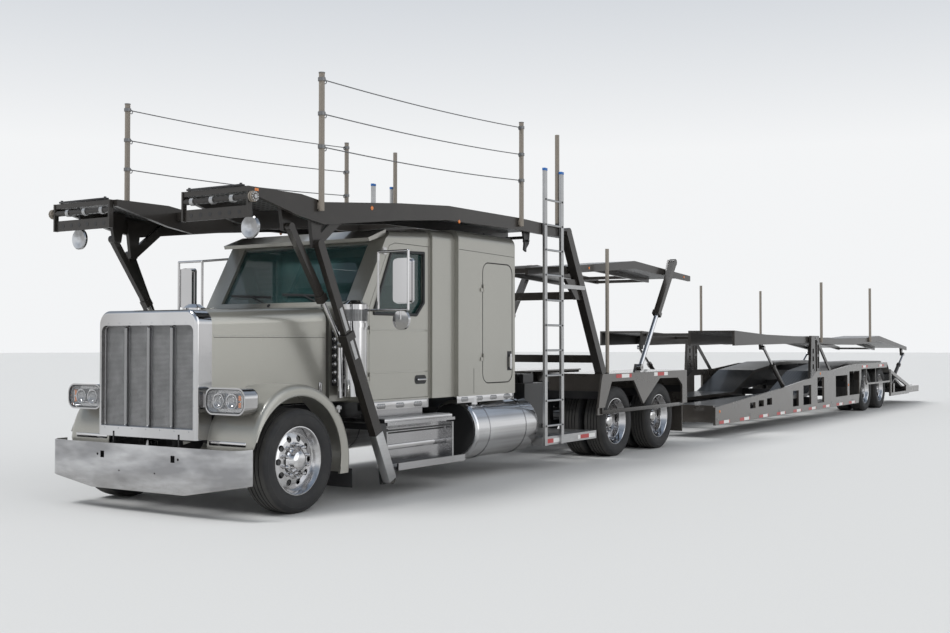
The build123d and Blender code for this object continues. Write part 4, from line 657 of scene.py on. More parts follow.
class Finishes:
    """Every finish of the lorry, made once by the finishes' operator and used by name."""

    def __init__(self):
        scheme = bpy.context.scene.transporter_colours
        body = tuple(scheme.body)
        deck = tuple(scheme.deck)
        self.body = metallic_paint("body_paint", body)
        self.seam = frame_paint("seam_black", (0.012, 0.012, 0.012), 0.6)
        self.frame = frame_paint("frame_black", (0.016, 0.016, 0.017))
        self.leg = frame_paint("leg_gloss", deck, 0.22)
        # painted light: the side plates take a copy of the deck paint made 2.6 times lighter, as lit outer
        # faces look
        self.plate = metallic_paint("deck_paint_lit_copy", shade(deck, 2.6), 0.26, 0.35)
        self.chrome = polished_metal("chrome")
        self.polished = polished_metal("polished_alloy", (0.66, 0.66, 0.67), 0.10, 0.25)
        self.step = polished_metal("step_alloy", (0.50, 0.50, 0.51), 0.20, 0.20, 0.5)
        self.grey_bar = polished_metal("grille_bar", (0.34, 0.34, 0.345), 0.14, 0.05, 0.5)
        self.bumper = bumper_plate("bumper_plate")
        self.alloy = brushed_metal("plain_alloy", (0.52, 0.52, 0.52))
        self.rod = polished_metal("ground_rod", (0.66, 0.66, 0.67), 0.12, 0.02)
        self.post = galvanised("weathered_post")
        self.cable = brushed_metal("steel_cable", (0.25, 0.25, 0.25), 0.5)
        self.rubber = rubber("tyre_rubber")
        self.window = tinted_glass("tinted_glass", (0.018, 0.050, 0.046), 0.62)
        self.screen = tinted_glass("screen_glass", (0.045, 0.105, 0.103), 0.50)
        self.lens = tinted_glass("clear_lens", (0.42, 0.43, 0.44), 0.16)
        self.mirror = polished_metal("mirror_glass", (0.62, 0.64, 0.67), 0.015, 0.0, 0.9)
        self.amber = lamp_lens("amber_lens", AMBER)
        self.red = lamp_lens("red_lens", TAPE_RED)
        self.tape = reflector_tape("reflector_tape")
        self.plastic = moulded_plastic("black_plastic", (0.020, 0.020, 0.021))
        self.trim = moulded_plastic("cab_trim", (0.055, 0.053, 0.050), 0.7)
        self.cap_blue = moulded_plastic("blue_cap", (0.015, 0.13, 0.42), 0.4)
        self.hose = moulded_plastic("hose_rubber", (0.014, 0.014, 0.014), 0.5)
        self.green = moulded_plastic("green_hose", (0.015, 0.22, 0.09), 0.4)
        self.weave = woven_wire("woven_wire")
        self.cast = frame_paint("cast_iron", (0.05, 0.05, 0.05), 0.6)
        # painted shade: the trailer floor's runway takes a darker copy of the decks' alloy, as it lies in
        # shade under them
        self.floor_runway = deck_finish("floor_runway", 9.0, 9.0, (0.0, 2.0), alloy=(0.05, 0.13))
        self.head_deck = deck_finish("head_deck_finish", HEAD_RAIL_X, HEAD_POSTS_Z, RUNWAY_SKIN)
        self.low_deck = deck_finish("low_deck_finish", LOW_RAIL_X, LOW_POSTS_Z, RUNWAY_SKIN)


finish = None  # a Finishes, once the finishes' operator has run


# What a user would change


class TransporterColours(bpy.types.PropertyGroup):
    """The lorry's paint colours."""

    body: bpy.props.FloatVectorProperty(name="Cab paint", description="Metallic paint of the cab and hood",
                                        default=(0.335, 0.327, 0.292), subtype="COLOR", min=0, max=1)
    deck: bpy.props.FloatVectorProperty(name="Deck paint", description="Gloss paint of the legs and decks",
                                        default=(0.024, 0.021, 0.0185), subtype="COLOR", min=0, max=1)


def length(name, description, default):
    return bpy.props.FloatProperty(name=name, description=description, default=default, unit="LENGTH")


class TransporterSizes(bpy.types.PropertyGroup):
    """Sizes of the lorry's small fittings."""

    rivet: length("Rivet radius", "Radius of a rivet's head", 0.006)
    rivet_pitch: length("Rivet pitch", "Distance between two rivets", 0.058)
    groove: length("Tread depth", "Depth of a tyre's grooves", 0.011)
    nut_circle: length("Nut circle", "Radius of the circle of wheel nuts", 0.1445)
    cable: length("Cable radius", "Radius of the cables between the posts", 0.0055)
    sag: length("Cable sag", "Sag of a cable at mid span", 0.030)
    tape: length("Tape height", "Height of the reflector tape", 0.05)


def sizes():
    return bpy.context.scene.transporter_sizes


# Wheels

RIM_RADIUS = 0.300
TYRE_WALL = ((0.036, -0.012), (0.030, 0.004), (0.012, 0.020), (0.002, 0.052), (0, 0.080), (0.004, 0.112),
             (0.0015, 0.116))  # inset from the tyre's side and rise over the rim
TYRE_SHOULDER = ((0.011, 0.026), (0.024, 0.010), (0.034, 0.004))  # inset and drop below the tread
GROOVES = (-0.066, -0.022, 0.022, 0.066)
GROOVE_HALF = 0.0055
GROOVE_FLOOR = 0.6  # width of a groove's floor against its mouth
HAND_HOLES = 10
HAND_HOLE_RADIUS = 0.029
DISC_THICKNESS = 0.012
NUTS = 10


def tyre_profile():
    """A road tyre's closed section as (offset, radius): bead, bulged walls, shoulders and grooved tread."""
    wall = [(TYRE_HALF - inset, RIM_RADIUS + rise) for inset, rise in TYRE_WALL]
    wall += [(TYRE_HALF - inset, TYRE_RADIUS - drop) for inset, drop in TYRE_SHOULDER]
    section = [(-offset, radius) for offset, radius in wall]
    low = TYRE_RADIUS - sizes().groove
    for middle in GROOVES:
        section += [(middle - GROOVE_HALF, TYRE_RADIUS), (middle - GROOVE_HALF * GROOVE_FLOOR, low),
                    (middle + GROOVE_HALF * GROOVE_FLOOR, low), (middle + GROOVE_HALF, TYRE_RADIUS)]
    section += wall[::-1]
    return section + section[:1]


def rim_profile():
    """A rim's closed section: two lips, the bead seats and the drop between them."""
    lip = TYRE_HALF - 0.024
    outer = [(lip - 0.006, RIM_RADIUS + 0.010), (lip, RIM_RADIUS + 0.006), (lip + 0.001, RIM_RADIUS - 0.002),
             (lip - 0.012, RIM_RADIUS - 0.014), (0.055, RIM_RADIUS - 0.030), (0.040, RIM_RADIUS - 0.042)]
    inner = [(-offset, radius) for offset, radius in outer[::-1]]
    under = [(-0.040, RIM_RADIUS - 0.034), (0.014 - lip, RIM_RADIUS - 0.004),
             (lip - 0.014, RIM_RADIUS - 0.004)]
    return outer + inner + under + outer[:1]


def disc_plate(bm, x, inner, outer, dish):
    """A wheel disc with its round hand holes, domed by a dish, about the X axis."""
    plate = bmesh.new()
    edges = []
    loops = [((0, 0), outer, 72), ((0, 0), inner, 48)]
    loops += [(middle, HAND_HOLE_RADIUS, 20) for middle in circle((inner + outer) / 2 + 0.004, HAND_HOLES)]
    for middle, radius, count in loops:
        ring = [plate.verts.new((0, middle[0] + y, middle[1] + z)) for y, z in circle(radius, count)]
        edges += [plate.edges.new(pair) for pair in zip(ring, ring[1:] + ring[:1])]
    bmesh.ops.triangle_fill(plate, use_beauty=True, edges=edges, normal=X_AXIS)
    grown = bmesh.ops.extrude_face_region(plate, geom=plate.faces[:])
    moved = [item for item in grown["geom"] if isinstance(item, bmesh.types.BMVert)]
    bmesh.ops.translate(plate, verts=moved, vec=X_AXIS * DISC_THICKNESS)
    for vert in plate.verts:
        reach = (vert.co.yz.length - inner) / (outer - inner)
        vert.co.x += x - dish * reach * reach
    mesh = bpy.data.meshes.new("disc")
    plate.to_mesh(mesh)
    plate.free()
    bm.from_mesh(mesh)
    bpy.data.meshes.remove(mesh)


def nut(bm, foot, height):
    """A chrome nut cover: a collar, a straight part and a pointed end."""
    collar, neck, tip = (foot + X_AXIS * reach for reach in (0.008, height * 0.7, height))
    rod(bm, foot, collar, 0.023, 12)
    rod(bm, collar, neck, 0.0175, 12)
    rod(bm, neck, tip, 0.0175, 12, 0.008)


def hub(bm, x, steer):
    """A stepped chrome hub cover with its ring of nuts."""
    reach = 0.082 if steer else 0.092
    cover = [(-0.004, 0.0), (-0.004, 0.122), (0.010, 0.122), (0.022, 0.104), (0.034, 0.098), (0.046, 0.092),
             (reach - 0.018, 0.084), (reach - 0.006, 0.066), (reach, 0.036), (reach, 0.0)]
    turned(bm, cover, X_AXIS * x)
    for y, z in circle(sizes().nut_circle, NUTS, 0.5):
        nut(bm, Vector((x - 0.003, y, z)), 0.062 if steer else 0.045)


def on_axle(bm, node, sign, part, material, replaces=()):
    """Moves a shape from the X axis to its wheel's axle, mirrors a right one, and finishes it."""
    bmesh.ops.scale(bm, verts=bm.verts[:], vec=(sign, 1, 1))
    bmesh.ops.translate(bm, verts=bm.verts[:], vec=point(0, sum(extent(node)[1]) / 2, AXLE_Z))
    finished(bm, f"{node}_{part}", node, material, replaces)


class TRANSPORTER_OT_wheels(bpy.types.Operator):
    """Makes the tyres, polished rims, hubs and nuts of all the wheels"""

    bl_idname = "transporter.wheels"
    bl_label = "Wheels"

    def execute(self, context):
        for side, sign in SIDES:
            self.wheel(f"wheel_steer_{side}", sign, True)
            for name in ("drive_1", "drive_2", "trailer_1", "trailer_2"):
                self.wheel(f"wheel_{name}_{side}", sign, False)
        return {"FINISHED"}

    def wheel(self, node, sign, steer):
        """One wheel, single in front and twin behind."""
        centres = (STEER_X,) if steer else (OUTER_X, INNER_X)
        tyres, rims = bmesh.new(), bmesh.new()
        for x in centres:
            turned(tyres, tyre_profile(), X_AXIS * x, steps=72)
            turned(rims, rim_profile(), X_AXIS * x, steps=72)
        if steer:
            face = STEER_X + 0.052
            disc_plate(rims, face, 0.125, RIM_RADIUS - 0.034, 0.030)
        else:
            face = OUTER_X - 0.058
            disc_plate(rims, face, 0.110, RIM_RADIUS - 0.036, -0.012)
            disc_plate(rims, INNER_X + 0.044, 0.110, RIM_RADIUS - 0.036, 0.012)
        on_axle(tyres, node, sign, "tyre", finish.rubber, (node,))
        on_axle(rims, node, sign, "rim", finish.polished)
        bm = bmesh.new()
        hub(bm, face + DISC_THICKNESS, steer)
        on_axle(bm, node, sign, "hub", finish.chrome)
        bm = bmesh.new()
        back = centres[-1] - 0.06
        depth = face - back - 0.002
        turned(bm, [(0, 0.0), (0, 0.195), (0.10, 0.195), (0.13, 0.125), (depth, 0.125), (depth, 0.0)],
               X_AXIS * back, steps=32)
        on_axle(bm, node, sign, "drum", finish.cast)


# Grille, hood and lamps

CROWN_X, CROWN_S, _ = extent("grille_crown")
CROWN_CORNER = 0.060  # the opening's upper corner radius
BIG_RIVET = 0.0075
HOOD_X, HOOD_S, HOOD_Z = extent("hood_shell")
HOOD_SIDE = Vector((1, 0.25, 0)).normalized()  # the hood's flank faces this way
FENDER_X = extent("fenders")[0][1]
LIP = 0.009  # radius of the rolled lip round a fender's arch
LIP_CIRCLE = 0.583  # that arch's radius about the wheel
LAMP_X, LAMP_S, LAMP_SPAN = extent("headlamps")
LAMP_Z = sum(LAMP_SPAN) / 2
LAMP_ROUNDS = (0.820, 0.980)  # offsets of the two round lamps
LAMP_RIM = 0.016  # width of the housing's rim round its recess
LAMP_FLOOR = LAMP_S[0] + 0.056  # station of that recess's floor


def rivets_along(bm, a, b, axis, pitch=None, radius=None):
    """A row of round rivet heads from a to b, as near the pitch as the run allows."""
    run = b - a
    count = max(1, round(run.length / (pitch or sizes().rivet_pitch)))
    for i in range(count + 1):
        ball(bm, a + run * (i / count), radius or sizes().rivet, 0.55, axis, 8)


def hood_side(station, z):
    """The point of the hood's left flank at a station and height."""
    share = (station - HOOD_S[0]) / (HOOD_S[1] - HOOD_S[0])
    return point(CROWN_X[1] + (HOOD_X[1] - CROWN_X[1]) * share, station, z)


class TRANSPORTER_OT_grille(bpy.types.Operator):
    """Makes the grille's woven panel, its upright bars and the surround's rivets"""

    bl_idname = "transporter.grille"
    bl_label = "Grille"

    def execute(self, context):
        (_, half), _, (low, high) = extent("grille")
        station = CROWN_S[0] + 0.050
        outline = rounded((-half, half), (low, high), CROWN_CORNER, square_foot=True)
        bm = bmesh.new()
        prism(bm, [point(x, station, z) for x, z in outline], Y_AXIS, 0.006)
        finished(bm, "grille_weave", "hood", finish.weave, ("grille",))
        bm = bmesh.new()
        for x in (-half / 2, 0, half / 2):
            self.upright(bm, x, station, low + 0.006, high - 0.010)
        loop_rods(bm, [point(x, station - 0.004, z) for x, z in outline], 0.009)
        finished(bm, "grille_bars", "hood", finish.grey_bar)
        bm = bmesh.new()
        rows = [((x, low + 0.06), (x, high - 0.10), 0.150) for x in (-half - 0.0085, half + 0.0085)]
        rows += [((0.09 - half, high + 0.020), (half - 0.09, high + 0.020), 0.150),
                 ((0.05 - half, low - 0.016), (half - 0.05, low - 0.016), 0.170)]
        for (xa, za), (xb, zb), pitch in rows:
            rivets_along(bm, point(xa, CROWN_S[0], za), point(xb, CROWN_S[0], zb), AHEAD, pitch, BIG_RIVET)
        rear = CROWN_S[1] - 0.020
        for sign, x in zip((-1, 1), CROWN_X):
            rivets_along(bm, point(x, rear, low), point(x, rear, high - 0.08), X_AXIS * sign, 0.085, 0.005)
        finished(bm, "grille_rivets", "hood", finish.chrome)
        return {"FINISHED"}

    def upright(self, bm, x, station, low, high):
        """One of the grille's upright bars, rounded in front and at both ends, on its flat foot."""
        radius = 0.019
        foot, head = (point(x, station - radius, z) for z in (low + radius, high - radius))
        rod(bm, foot, head, radius, 20)
        for end in (foot, head):
            ball(bm, end, radius, sides=20)
        cuboid(bm, (x - 0.027, x + 0.027), (station - 0.005, station + 0.002), (low, high), 0.002)


class TRANSPORTER_OT_hood_trim(bpy.types.Operator):
    """Makes the hood's rivet rows, its seam, its latches and the fenders' strips, flaps and lips"""

    bl_idname = "transporter.hood_trim"
    bl_label = "Hood trim"

    def execute(self, context):
        front, rear = HOOD_S[0] + 0.02, HOOD_S[1] - 0.02
        row = HOOD_Z[1] - 0.275
        seam = row - 0.014
        crest = HOOD_Z[1] - 0.060
        bm = bmesh.new()
        rivets_along(bm, hood_side(front, row), hood_side(rear, row), HOOD_SIDE)
        for station in (rear, rear - 0.16):
            rivets_along(bm, hood_side(station, 1.16), hood_side(station, row - 0.03), HOOD_SIDE, 0.075)
        paired(bm, "hood_rivets", "hood", finish.alloy)
        bm = bmesh.new()
        beam(bm, hood_side(front, seam), hood_side(rear, seam), 0.003, 0.004)
        paired(bm, "hood_seam", "hood", finish.seam)
        bm = bmesh.new()
        cuboid(bm, (-0.010, 0.010), (front + 0.01, rear), (crest - 0.002, crest + 0.002))
        station = HOOD_S[1] - 0.07
        x = hood_side(station, 0).x
        cuboid(bm, (x, x + 0.016), (station - 0.02, station + 0.02), (1.05, 1.14), 0.006)
        rod(bm, point(x + 0.018, station, 1.06), point(x + 0.018, station, 1.13), 0.007, 10)
        paired(bm, "hood_latches", "hood", finish.chrome)
        self.fender_trim()
        return {"FINISHED"}

    def fender_trim(self):
        """Each fender's bright strip, latch and rolled lip, and the flap behind its wheel."""
        bm = bmesh.new()
        beam(bm, point(CROWN_X[1] + 0.02, 0.246, 0.640), point(FENDER_X - 0.10, 0.246, 0.640), 0.05, 0.046,
             Y_AXIS, 0.012)
        paired(bm, "fender_strips", "hood", finish.chrome)
        bm = bmesh.new()
        cuboid(bm, (FENDER_X, FENDER_X + 0.012), (1.295, 1.365), (0.895, 0.925), 0.004)
        cuboid(bm, (FENDER_X, FENDER_X + 0.018), (1.310, 1.335), (0.868, 0.935), 0.004)
        paired(bm, "fender_latches", "hood", finish.alloy)
        bm = bmesh.new()
        cuboid(bm, (0.700, 1.195), (1.545, 1.551), (0.150, 0.330), 0.002)
        cuboid(bm, (0.430, 0.720), (1.545, 1.575), (0.300, 0.345), 0.003)
        cuboid(bm, (0.430, 0.470), (1.545, 1.575), (0.340, 0.663), 0.003)
        paired(bm, "front_flaps", "tractor", finish.plastic)
        bm = bmesh.new()
        axle = point(FENDER_X - 0.006, extent("wheel_steer_left")[1][0] + TYRE_RADIUS, AXLE_Z)
        verts = [bm.verts.new(axle + Vector((x, 0, LIP_CIRCLE + z))) for x, z in circle(LIP, 6)]
        edges = [bm.edges.new(pair) for pair in zip(verts, verts[1:] + verts[:1])]
        bmesh.ops.rotate(bm, verts=verts, cent=axle, matrix=Matrix.Rotation(radians(-100), 3, "X"))
        bmesh.ops.spin(bm, geom=verts + edges, cent=axle, axis=X_AXIS, angle=radians(170), steps=48)
        paired(bm, "fender_lips", "hood", finish.body)


class TRANSPORTER_OT_headlamps(bpy.types.Operator):
    """Makes the headlamps' bowls, bulbs, amber segments and clear covers"""

    bl_idname = "transporter.headlamps"
    bl_label = "Headlamps"

    def execute(self, context):
        bowls, eyes = bmesh.new(), bmesh.new()
        for x in LAMP_ROUNDS:
            self.round_lamp(bowls, point(x, LAMP_FLOOR, LAMP_Z))
            ball(eyes, point(x, LAMP_FLOOR - 0.030, LAMP_Z), 0.045, 0.35, Y_AXIS, 20)
        paired(bowls, "lamp_bowls", "hood", finish.chrome)
        paired(eyes, "lamp_eyes", "hood", finish.lens)
        bm = bmesh.new()
        depth = (LAMP_FLOOR - 0.034, LAMP_FLOOR - 0.030)
        for z in (LAMP_Z - 0.030, LAMP_Z + 0.030):
            cuboid(bm, (1.052, 1.080), depth, (z - 0.022, z + 0.022), 0.004)
        for z in (-0.052, 0.0, 0.052):
            ball(bm, point(1.103, LAMP_FLOOR - 0.012, LAMP_Z + z), 0.011, 0.6, Y_AXIS, 12)
        paired(bm, "lamp_amber", "hood", finish.amber)
        cover = rounded((LAMP_ROUNDS[0] - 0.145 + LAMP_RIM, LAMP_X[1] - LAMP_RIM),
                        (LAMP_SPAN[0] + LAMP_RIM, LAMP_SPAN[1] - LAMP_RIM), 0.074)
        bm = bmesh.new()
        prism(bm, [point(x, LAMP_S[0] + 0.010, z) for x, z in cover], Y_AXIS, 0.004)
        paired(bm, "lamp_covers", "hood", finish.lens)
        bm = bmesh.new()
        loop_rods(bm, [point(x, LAMP_S[0] + 0.003, z) for x, z in cover], 0.004)
        paired(bm, "lamp_seals", "hood", finish.plastic)
        return {"FINISHED"}

    def round_lamp(self, bm, centre):
        """A reflector bowl with its bright ring and bulb shade, before the recess's floor."""
        bowl = [(0.002, 0.0), (0.003, 0.016), (0.010, 0.036), (0.022, 0.050), (0.034, 0.057)]
        ring = [(0.038, 0.056), (0.038, 0.070), (0.045, 0.068), (0.046, 0.062), (0.043, 0.056)]
        ring += ring[:1]
        for profile in (bowl, ring):
            turned(bm, [(-along, radius) for along, radius in profile], centre, Y_AXIS, 32)
        rod(bm, centre, centre + AHEAD * 0.020, 0.016, 16, 0.011)


# Cab

DOOR_FACE = 1.050
DOOR_S = extent("door_left")[1]
PANE_S, PANE_Z = extent("door_glass_left")[1:]
SLEEPER_FACE = 1.130
SLEEPER_FRONT = 3.445
SLEEPER_REAR = extent("sleeper_shell")[1][1]
SLEEPER_Z = extent("sleeper_shell")[2]
SCREEN_X, SCREEN_S, SCREEN_Z = extent("windscreen")


class TRANSPORTER_OT_cab_trim(bpy.types.Operator):
    """Makes the cab's window seals, handles, wipers, lamp strips and body lines"""

    bl_idname = "transporter.cab_trim"
    bl_label = "Cab trim"

    def execute(self, context):
        for side, sign in SIDES:
            self.door(side, sign)
            self.hatch(side, sign)
        self.screen_seal()
        self.wipers()
        self.lamp_strips()
        self.cowl_column()
        self.roof_lamps()
        self.sleeper_lines()
        return {"FINISHED"}

    def door(self, side, sign):
        """A door's window seal, handle in its pocket and pressed line."""
        (s0, s1), (z0, z1) = PANE_S, PANE_Z
        x = sign * (DOOR_FACE + 0.001)
        corners = [(s0, z0 + 0.03), (s0 + 0.28, z1 - 0.02), (s1, z1), (s1, z0 + 0.13), (s1 - 0.13, z0),
                   (s0, z0)]
        bm = bmesh.new()
        loop_bead(bm, [point(x, s, z) for s, z in corners], 0.016)
        s, z = s1 + 0.045, 1.13
        pocket = rounded((s - 0.200, s), (z - 0.046, z + 0.046), 0.038)
        prism(bm, [point(x, station, height) for station, height in pocket], X_AXIS * sign, 0.003)
        finished(bm, f"door_seal_{side}", f"door_{side}", finish.plastic)
        bm = bmesh.new()
        out = x + sign * 0.014
        ends = point(out, s - 0.160, z), point(out, s - 0.03, z)
        rod(bm, *ends, 0.014, 14)
        for end in ends:
            ball(bm, end, 0.014)
        rod(bm, point(x, s - 0.035, z), point(out, s - 0.035, z), 0.009, 10)
        finished(bm, f"door_handle_{side}", f"door_{side}", finish.chrome)
        bm = bmesh.new()
        for z in (1.215, 1.640):
            beam(bm, point(x, DOOR_S[0] + 0.02, z), point(x, DOOR_S[1] - 0.01, z), 0.004, 0.016, bevel=0.0018)
        finished(bm, f"door_lines_{side}", f"door_{side}", finish.body)

    def hatch(self, side, sign):
        """The seal round a sleeper hatch, its black pocket and chrome lever."""
        inset = 0.004
        _, (s0, s1), (z0, z1) = ((low + inset, high - inset) for low, high in extent(f"hatch_{side}"))
        x = sign * SLEEPER_FACE
        bm = bmesh.new()
        loop_bead(bm, [point(x, s, z) for s, z in rounded((s0, s1), (z0, z1), 0.106, 4)], 0.004)
        finished(bm, f"hatch_seal_{side}", f"hatch_{side}", finish.seam)
        bm = bmesh.new()
        cuboid(bm, sorted((x, x + sign * 0.003)), (s1 - 0.105, s1 - 0.02), (z0 + 0.13, z0 + 0.35), 0.001)
        finished(bm, f"hatch_pocket_{side}", f"hatch_{side}", finish.plastic)
        bm = bmesh.new()
        out = x + sign * 0.020
        rod(bm, point(out, s1 - 0.062, z0 + 0.15), point(out, s1 - 0.062, z0 + 0.32), 0.015, 14)
        finished(bm, f"hatch_lever_{side}", f"hatch_{side}", finish.chrome)

    def screen_seal(self):
        """The black seal round the windscreen and the bar between its two panes."""
        (s0, s1), (z0, z1) = SCREEN_S, SCREEN_Z
        outward = Vector((0, s1 - s0, z1 - z0)).normalized().cross(X_AXIS) * 0.036
        foot, head = point(0, s0, z0) + outward, point(0, s1, z1) + outward
        half = X_AXIS * SCREEN_X[1]
        bm = bmesh.new()
        loop_bead(bm, [foot - half, foot + half, head + half, head - half], 0.013)
        beam(bm, foot, head, 0.040, 0.012, bevel=0.004)
        finished(bm, "screen_seal", "tractor", finish.plastic)

    def wipers(self):
        """Two wipers parked along the windscreen's foot."""
        (s0, s1), (z0, z1) = SCREEN_S, SCREEN_Z
        slope = (z1 - z0) / (s1 - s0)
        reach = -0.52
        bm = bmesh.new()
        for x in (-0.16, 0.56):
            foot = point(x, s0 - 0.035, z0 - 0.010)
            tip = point(x + reach * 0.6, s0 + 0.027, z0 + 0.045 * slope + 0.02)
            rod(bm, foot, tip, 0.008, 8)
            ball(bm, foot, 0.022)
            half = Vector((reach * 0.55, 0.004, 0.012))
            beam(bm, tip + half, tip - half, 0.010, 0.026, Y_AXIS, 0.003)
        finished(bm, "wipers", "tractor", finish.plastic)

    def lamp_strips(self):
        """Polished strips with oval lamps under the door and the sleeper."""
        strips = (
            ("door", extent("cab_steps")[2][1] - 0.088, DOOR_FACE, 2.02, 2.96, 3),
            ("sleeper", SLEEPER_Z[0] - 0.072, SLEEPER_FACE - 0.006, 3.42, 4.60, 4),
        )
        for name, z, x, s0, s1, count in strips:
            bm = bmesh.new()
            cuboid(bm, (x - 0.006, x + 0.002), (s0, s1), (z, z + 0.078), 0.0018)
            if name == "sleeper":
                cuboid(bm, (x - 0.04, x - 0.004), (s0, s1), (z + 0.060, z + 0.0715), 0.001)
            paired(bm, f"{name}_strip", "tractor", finish.chrome)
            bm = bmesh.new()
            for i in range(count):
                s = s0 + (s1 - s0) * (i + 0.5) / count
                for shift in (-0.045, -0.015, 0.015, 0.045):
                    ball(bm, point(x + 0.001, s + shift, z + 0.039), 0.027, 0.38, X_AXIS, 12)
            paired(bm, f"{name}_strip_lamps", "tractor", finish.grey_bar)

    def cowl_column(self):
        """The dark column of seven round lamps at the cowl, and the banded pipe beside the cleaner."""
        x, station = 0.945, 1.585
        bm = bmesh.new()
        cuboid(bm, (x - 0.036, x + 0.036), (station, station + 0.012), (1.10, 1.68), 0.003)
        for z in (1.20, 1.60):
            cuboid(bm, (x - 0.015, x + 0.015), (station + 0.010, 1.700), (z - 0.020, z + 0.020))
        paired(bm, "cowl_column", "tractor", finish.plastic)
        bm = bmesh.new()
        for i in range(7):
            spot = point(x, station, 1.150 + i * 0.080)
            turned(bm, [(0.0, 0.019), (0.008, 0.021), (0.008, 0.027), (0.0, 0.030)], spot, AHEAD, 20)
            ball(bm, spot, 0.020, 0.5, Y_AXIS, 14)
        pipe = point(1.035, 1.560, 0)
        rod(bm, pipe + Z_AXIS * 0.99, pipe + Z_AXIS * 1.62, 0.027, 24)
        for z in (1.06, 1.19, 1.36):
            rod(bm, pipe + Z_AXIS * (z - 0.012), pipe + Z_AXIS * (z + 0.012), 0.031, 24)
        paired(bm, "cowl_lamps", "tractor", finish.chrome)

    def roof_lamps(self):
        """Five amber marker lamps on the cab's roof edge."""
        bm = bmesh.new()
        for x in (-0.75, -0.30, 0.0, 0.30, 0.75):
            ball(bm, point(x, 2.43, 2.652), 0.035, 0.6)
        finished(bm, "roof_lamps", "tractor", finish.amber)

    def sleeper_lines(self):
        """The seams where the sleeper's panels meet."""
        x = SLEEPER_FACE + 0.0005
        (low, high), post = SLEEPER_Z, SLEEPER_FRONT + 0.3
        bm = bmesh.new()
        beam(bm, point(x, SLEEPER_FRONT + 0.01, high - 0.215), point(x, SLEEPER_REAR - 0.02, high - 0.235),
             0.002, 0.005)
        beam(bm, point(x, post, low + 0.02), point(x, post, low + 0.30), 0.002, 0.004)
        paired(bm, "sleeper_seams", "tractor", finish.seam)


class TRANSPORTER_OT_mirror_glass(bpy.types.Operator):
    """Makes the glass of the door mirrors and the round deck mirrors with their arms"""

    bl_idname = "transporter.mirror_glass"
    bl_label = "Mirror glass"

    def execute(self, context):
        x, rear = 1.470, 2.009
        bm = bmesh.new()
        cuboid(bm, (x - 0.088, x + 0.088), (rear, rear + 0.003), (1.915, 2.305), 0.001)
        paired(bm, "mirror_glass", "tractor", finish.mirror)
        front = extent("head_deck")[1][0]
        dish = [(0.0, 0.0), (0.012, 0.05), (0.018, 0.09), (0.010, 0.100), (-0.012, 0.098), (-0.014, 0.0)]
        bm, arms = bmesh.new(), bmesh.new()
        for x in (1.24, -0.95):
            centre = point(x, front + 0.075, 2.49)
            foot, elbow = centre + Vector((0, 0.014, 0)), centre + Vector((0, 0.014, 0.115))
            turned(bm, dish, centre, AHEAD, 40)
            rod(arms, foot, elbow, 0.010, 10)
            rod(arms, elbow, point(x, front + 0.055, 2.79), 0.010, 10)
        finished(bm, "deck_mirrors", "head_deck", finish.mirror)
        finished(arms, "deck_mirror_arms", "head_deck", finish.frame)
        return {"FINISHED"}


# Fittings along the tractor

TANK_X, TANK_Z = 0.918, 0.552  # the tanks' middle line
CLEANER_HEAD = (1.085, 1.710, 1.775)
LADDER_X = (1.275, 1.305)
LADDER_RAILS = (5.050, 5.455)  # stations
RUNGS, RUNG_FOOT, RUNG_PITCH = 10, 0.520, 0.300
BOARD_SIDE, BOARD_LOW = 1.275, 0.312  # the low side boards' face, and their tape's lower edge
FENDER_SIDE, FENDER_TOP = 1.290, 1.105
LEG_FOOT, LEG_HEAD = point(1.260, 2.040, 0.190), point(1.260, 0.987, 2.400)
PAD_RIBS = 7


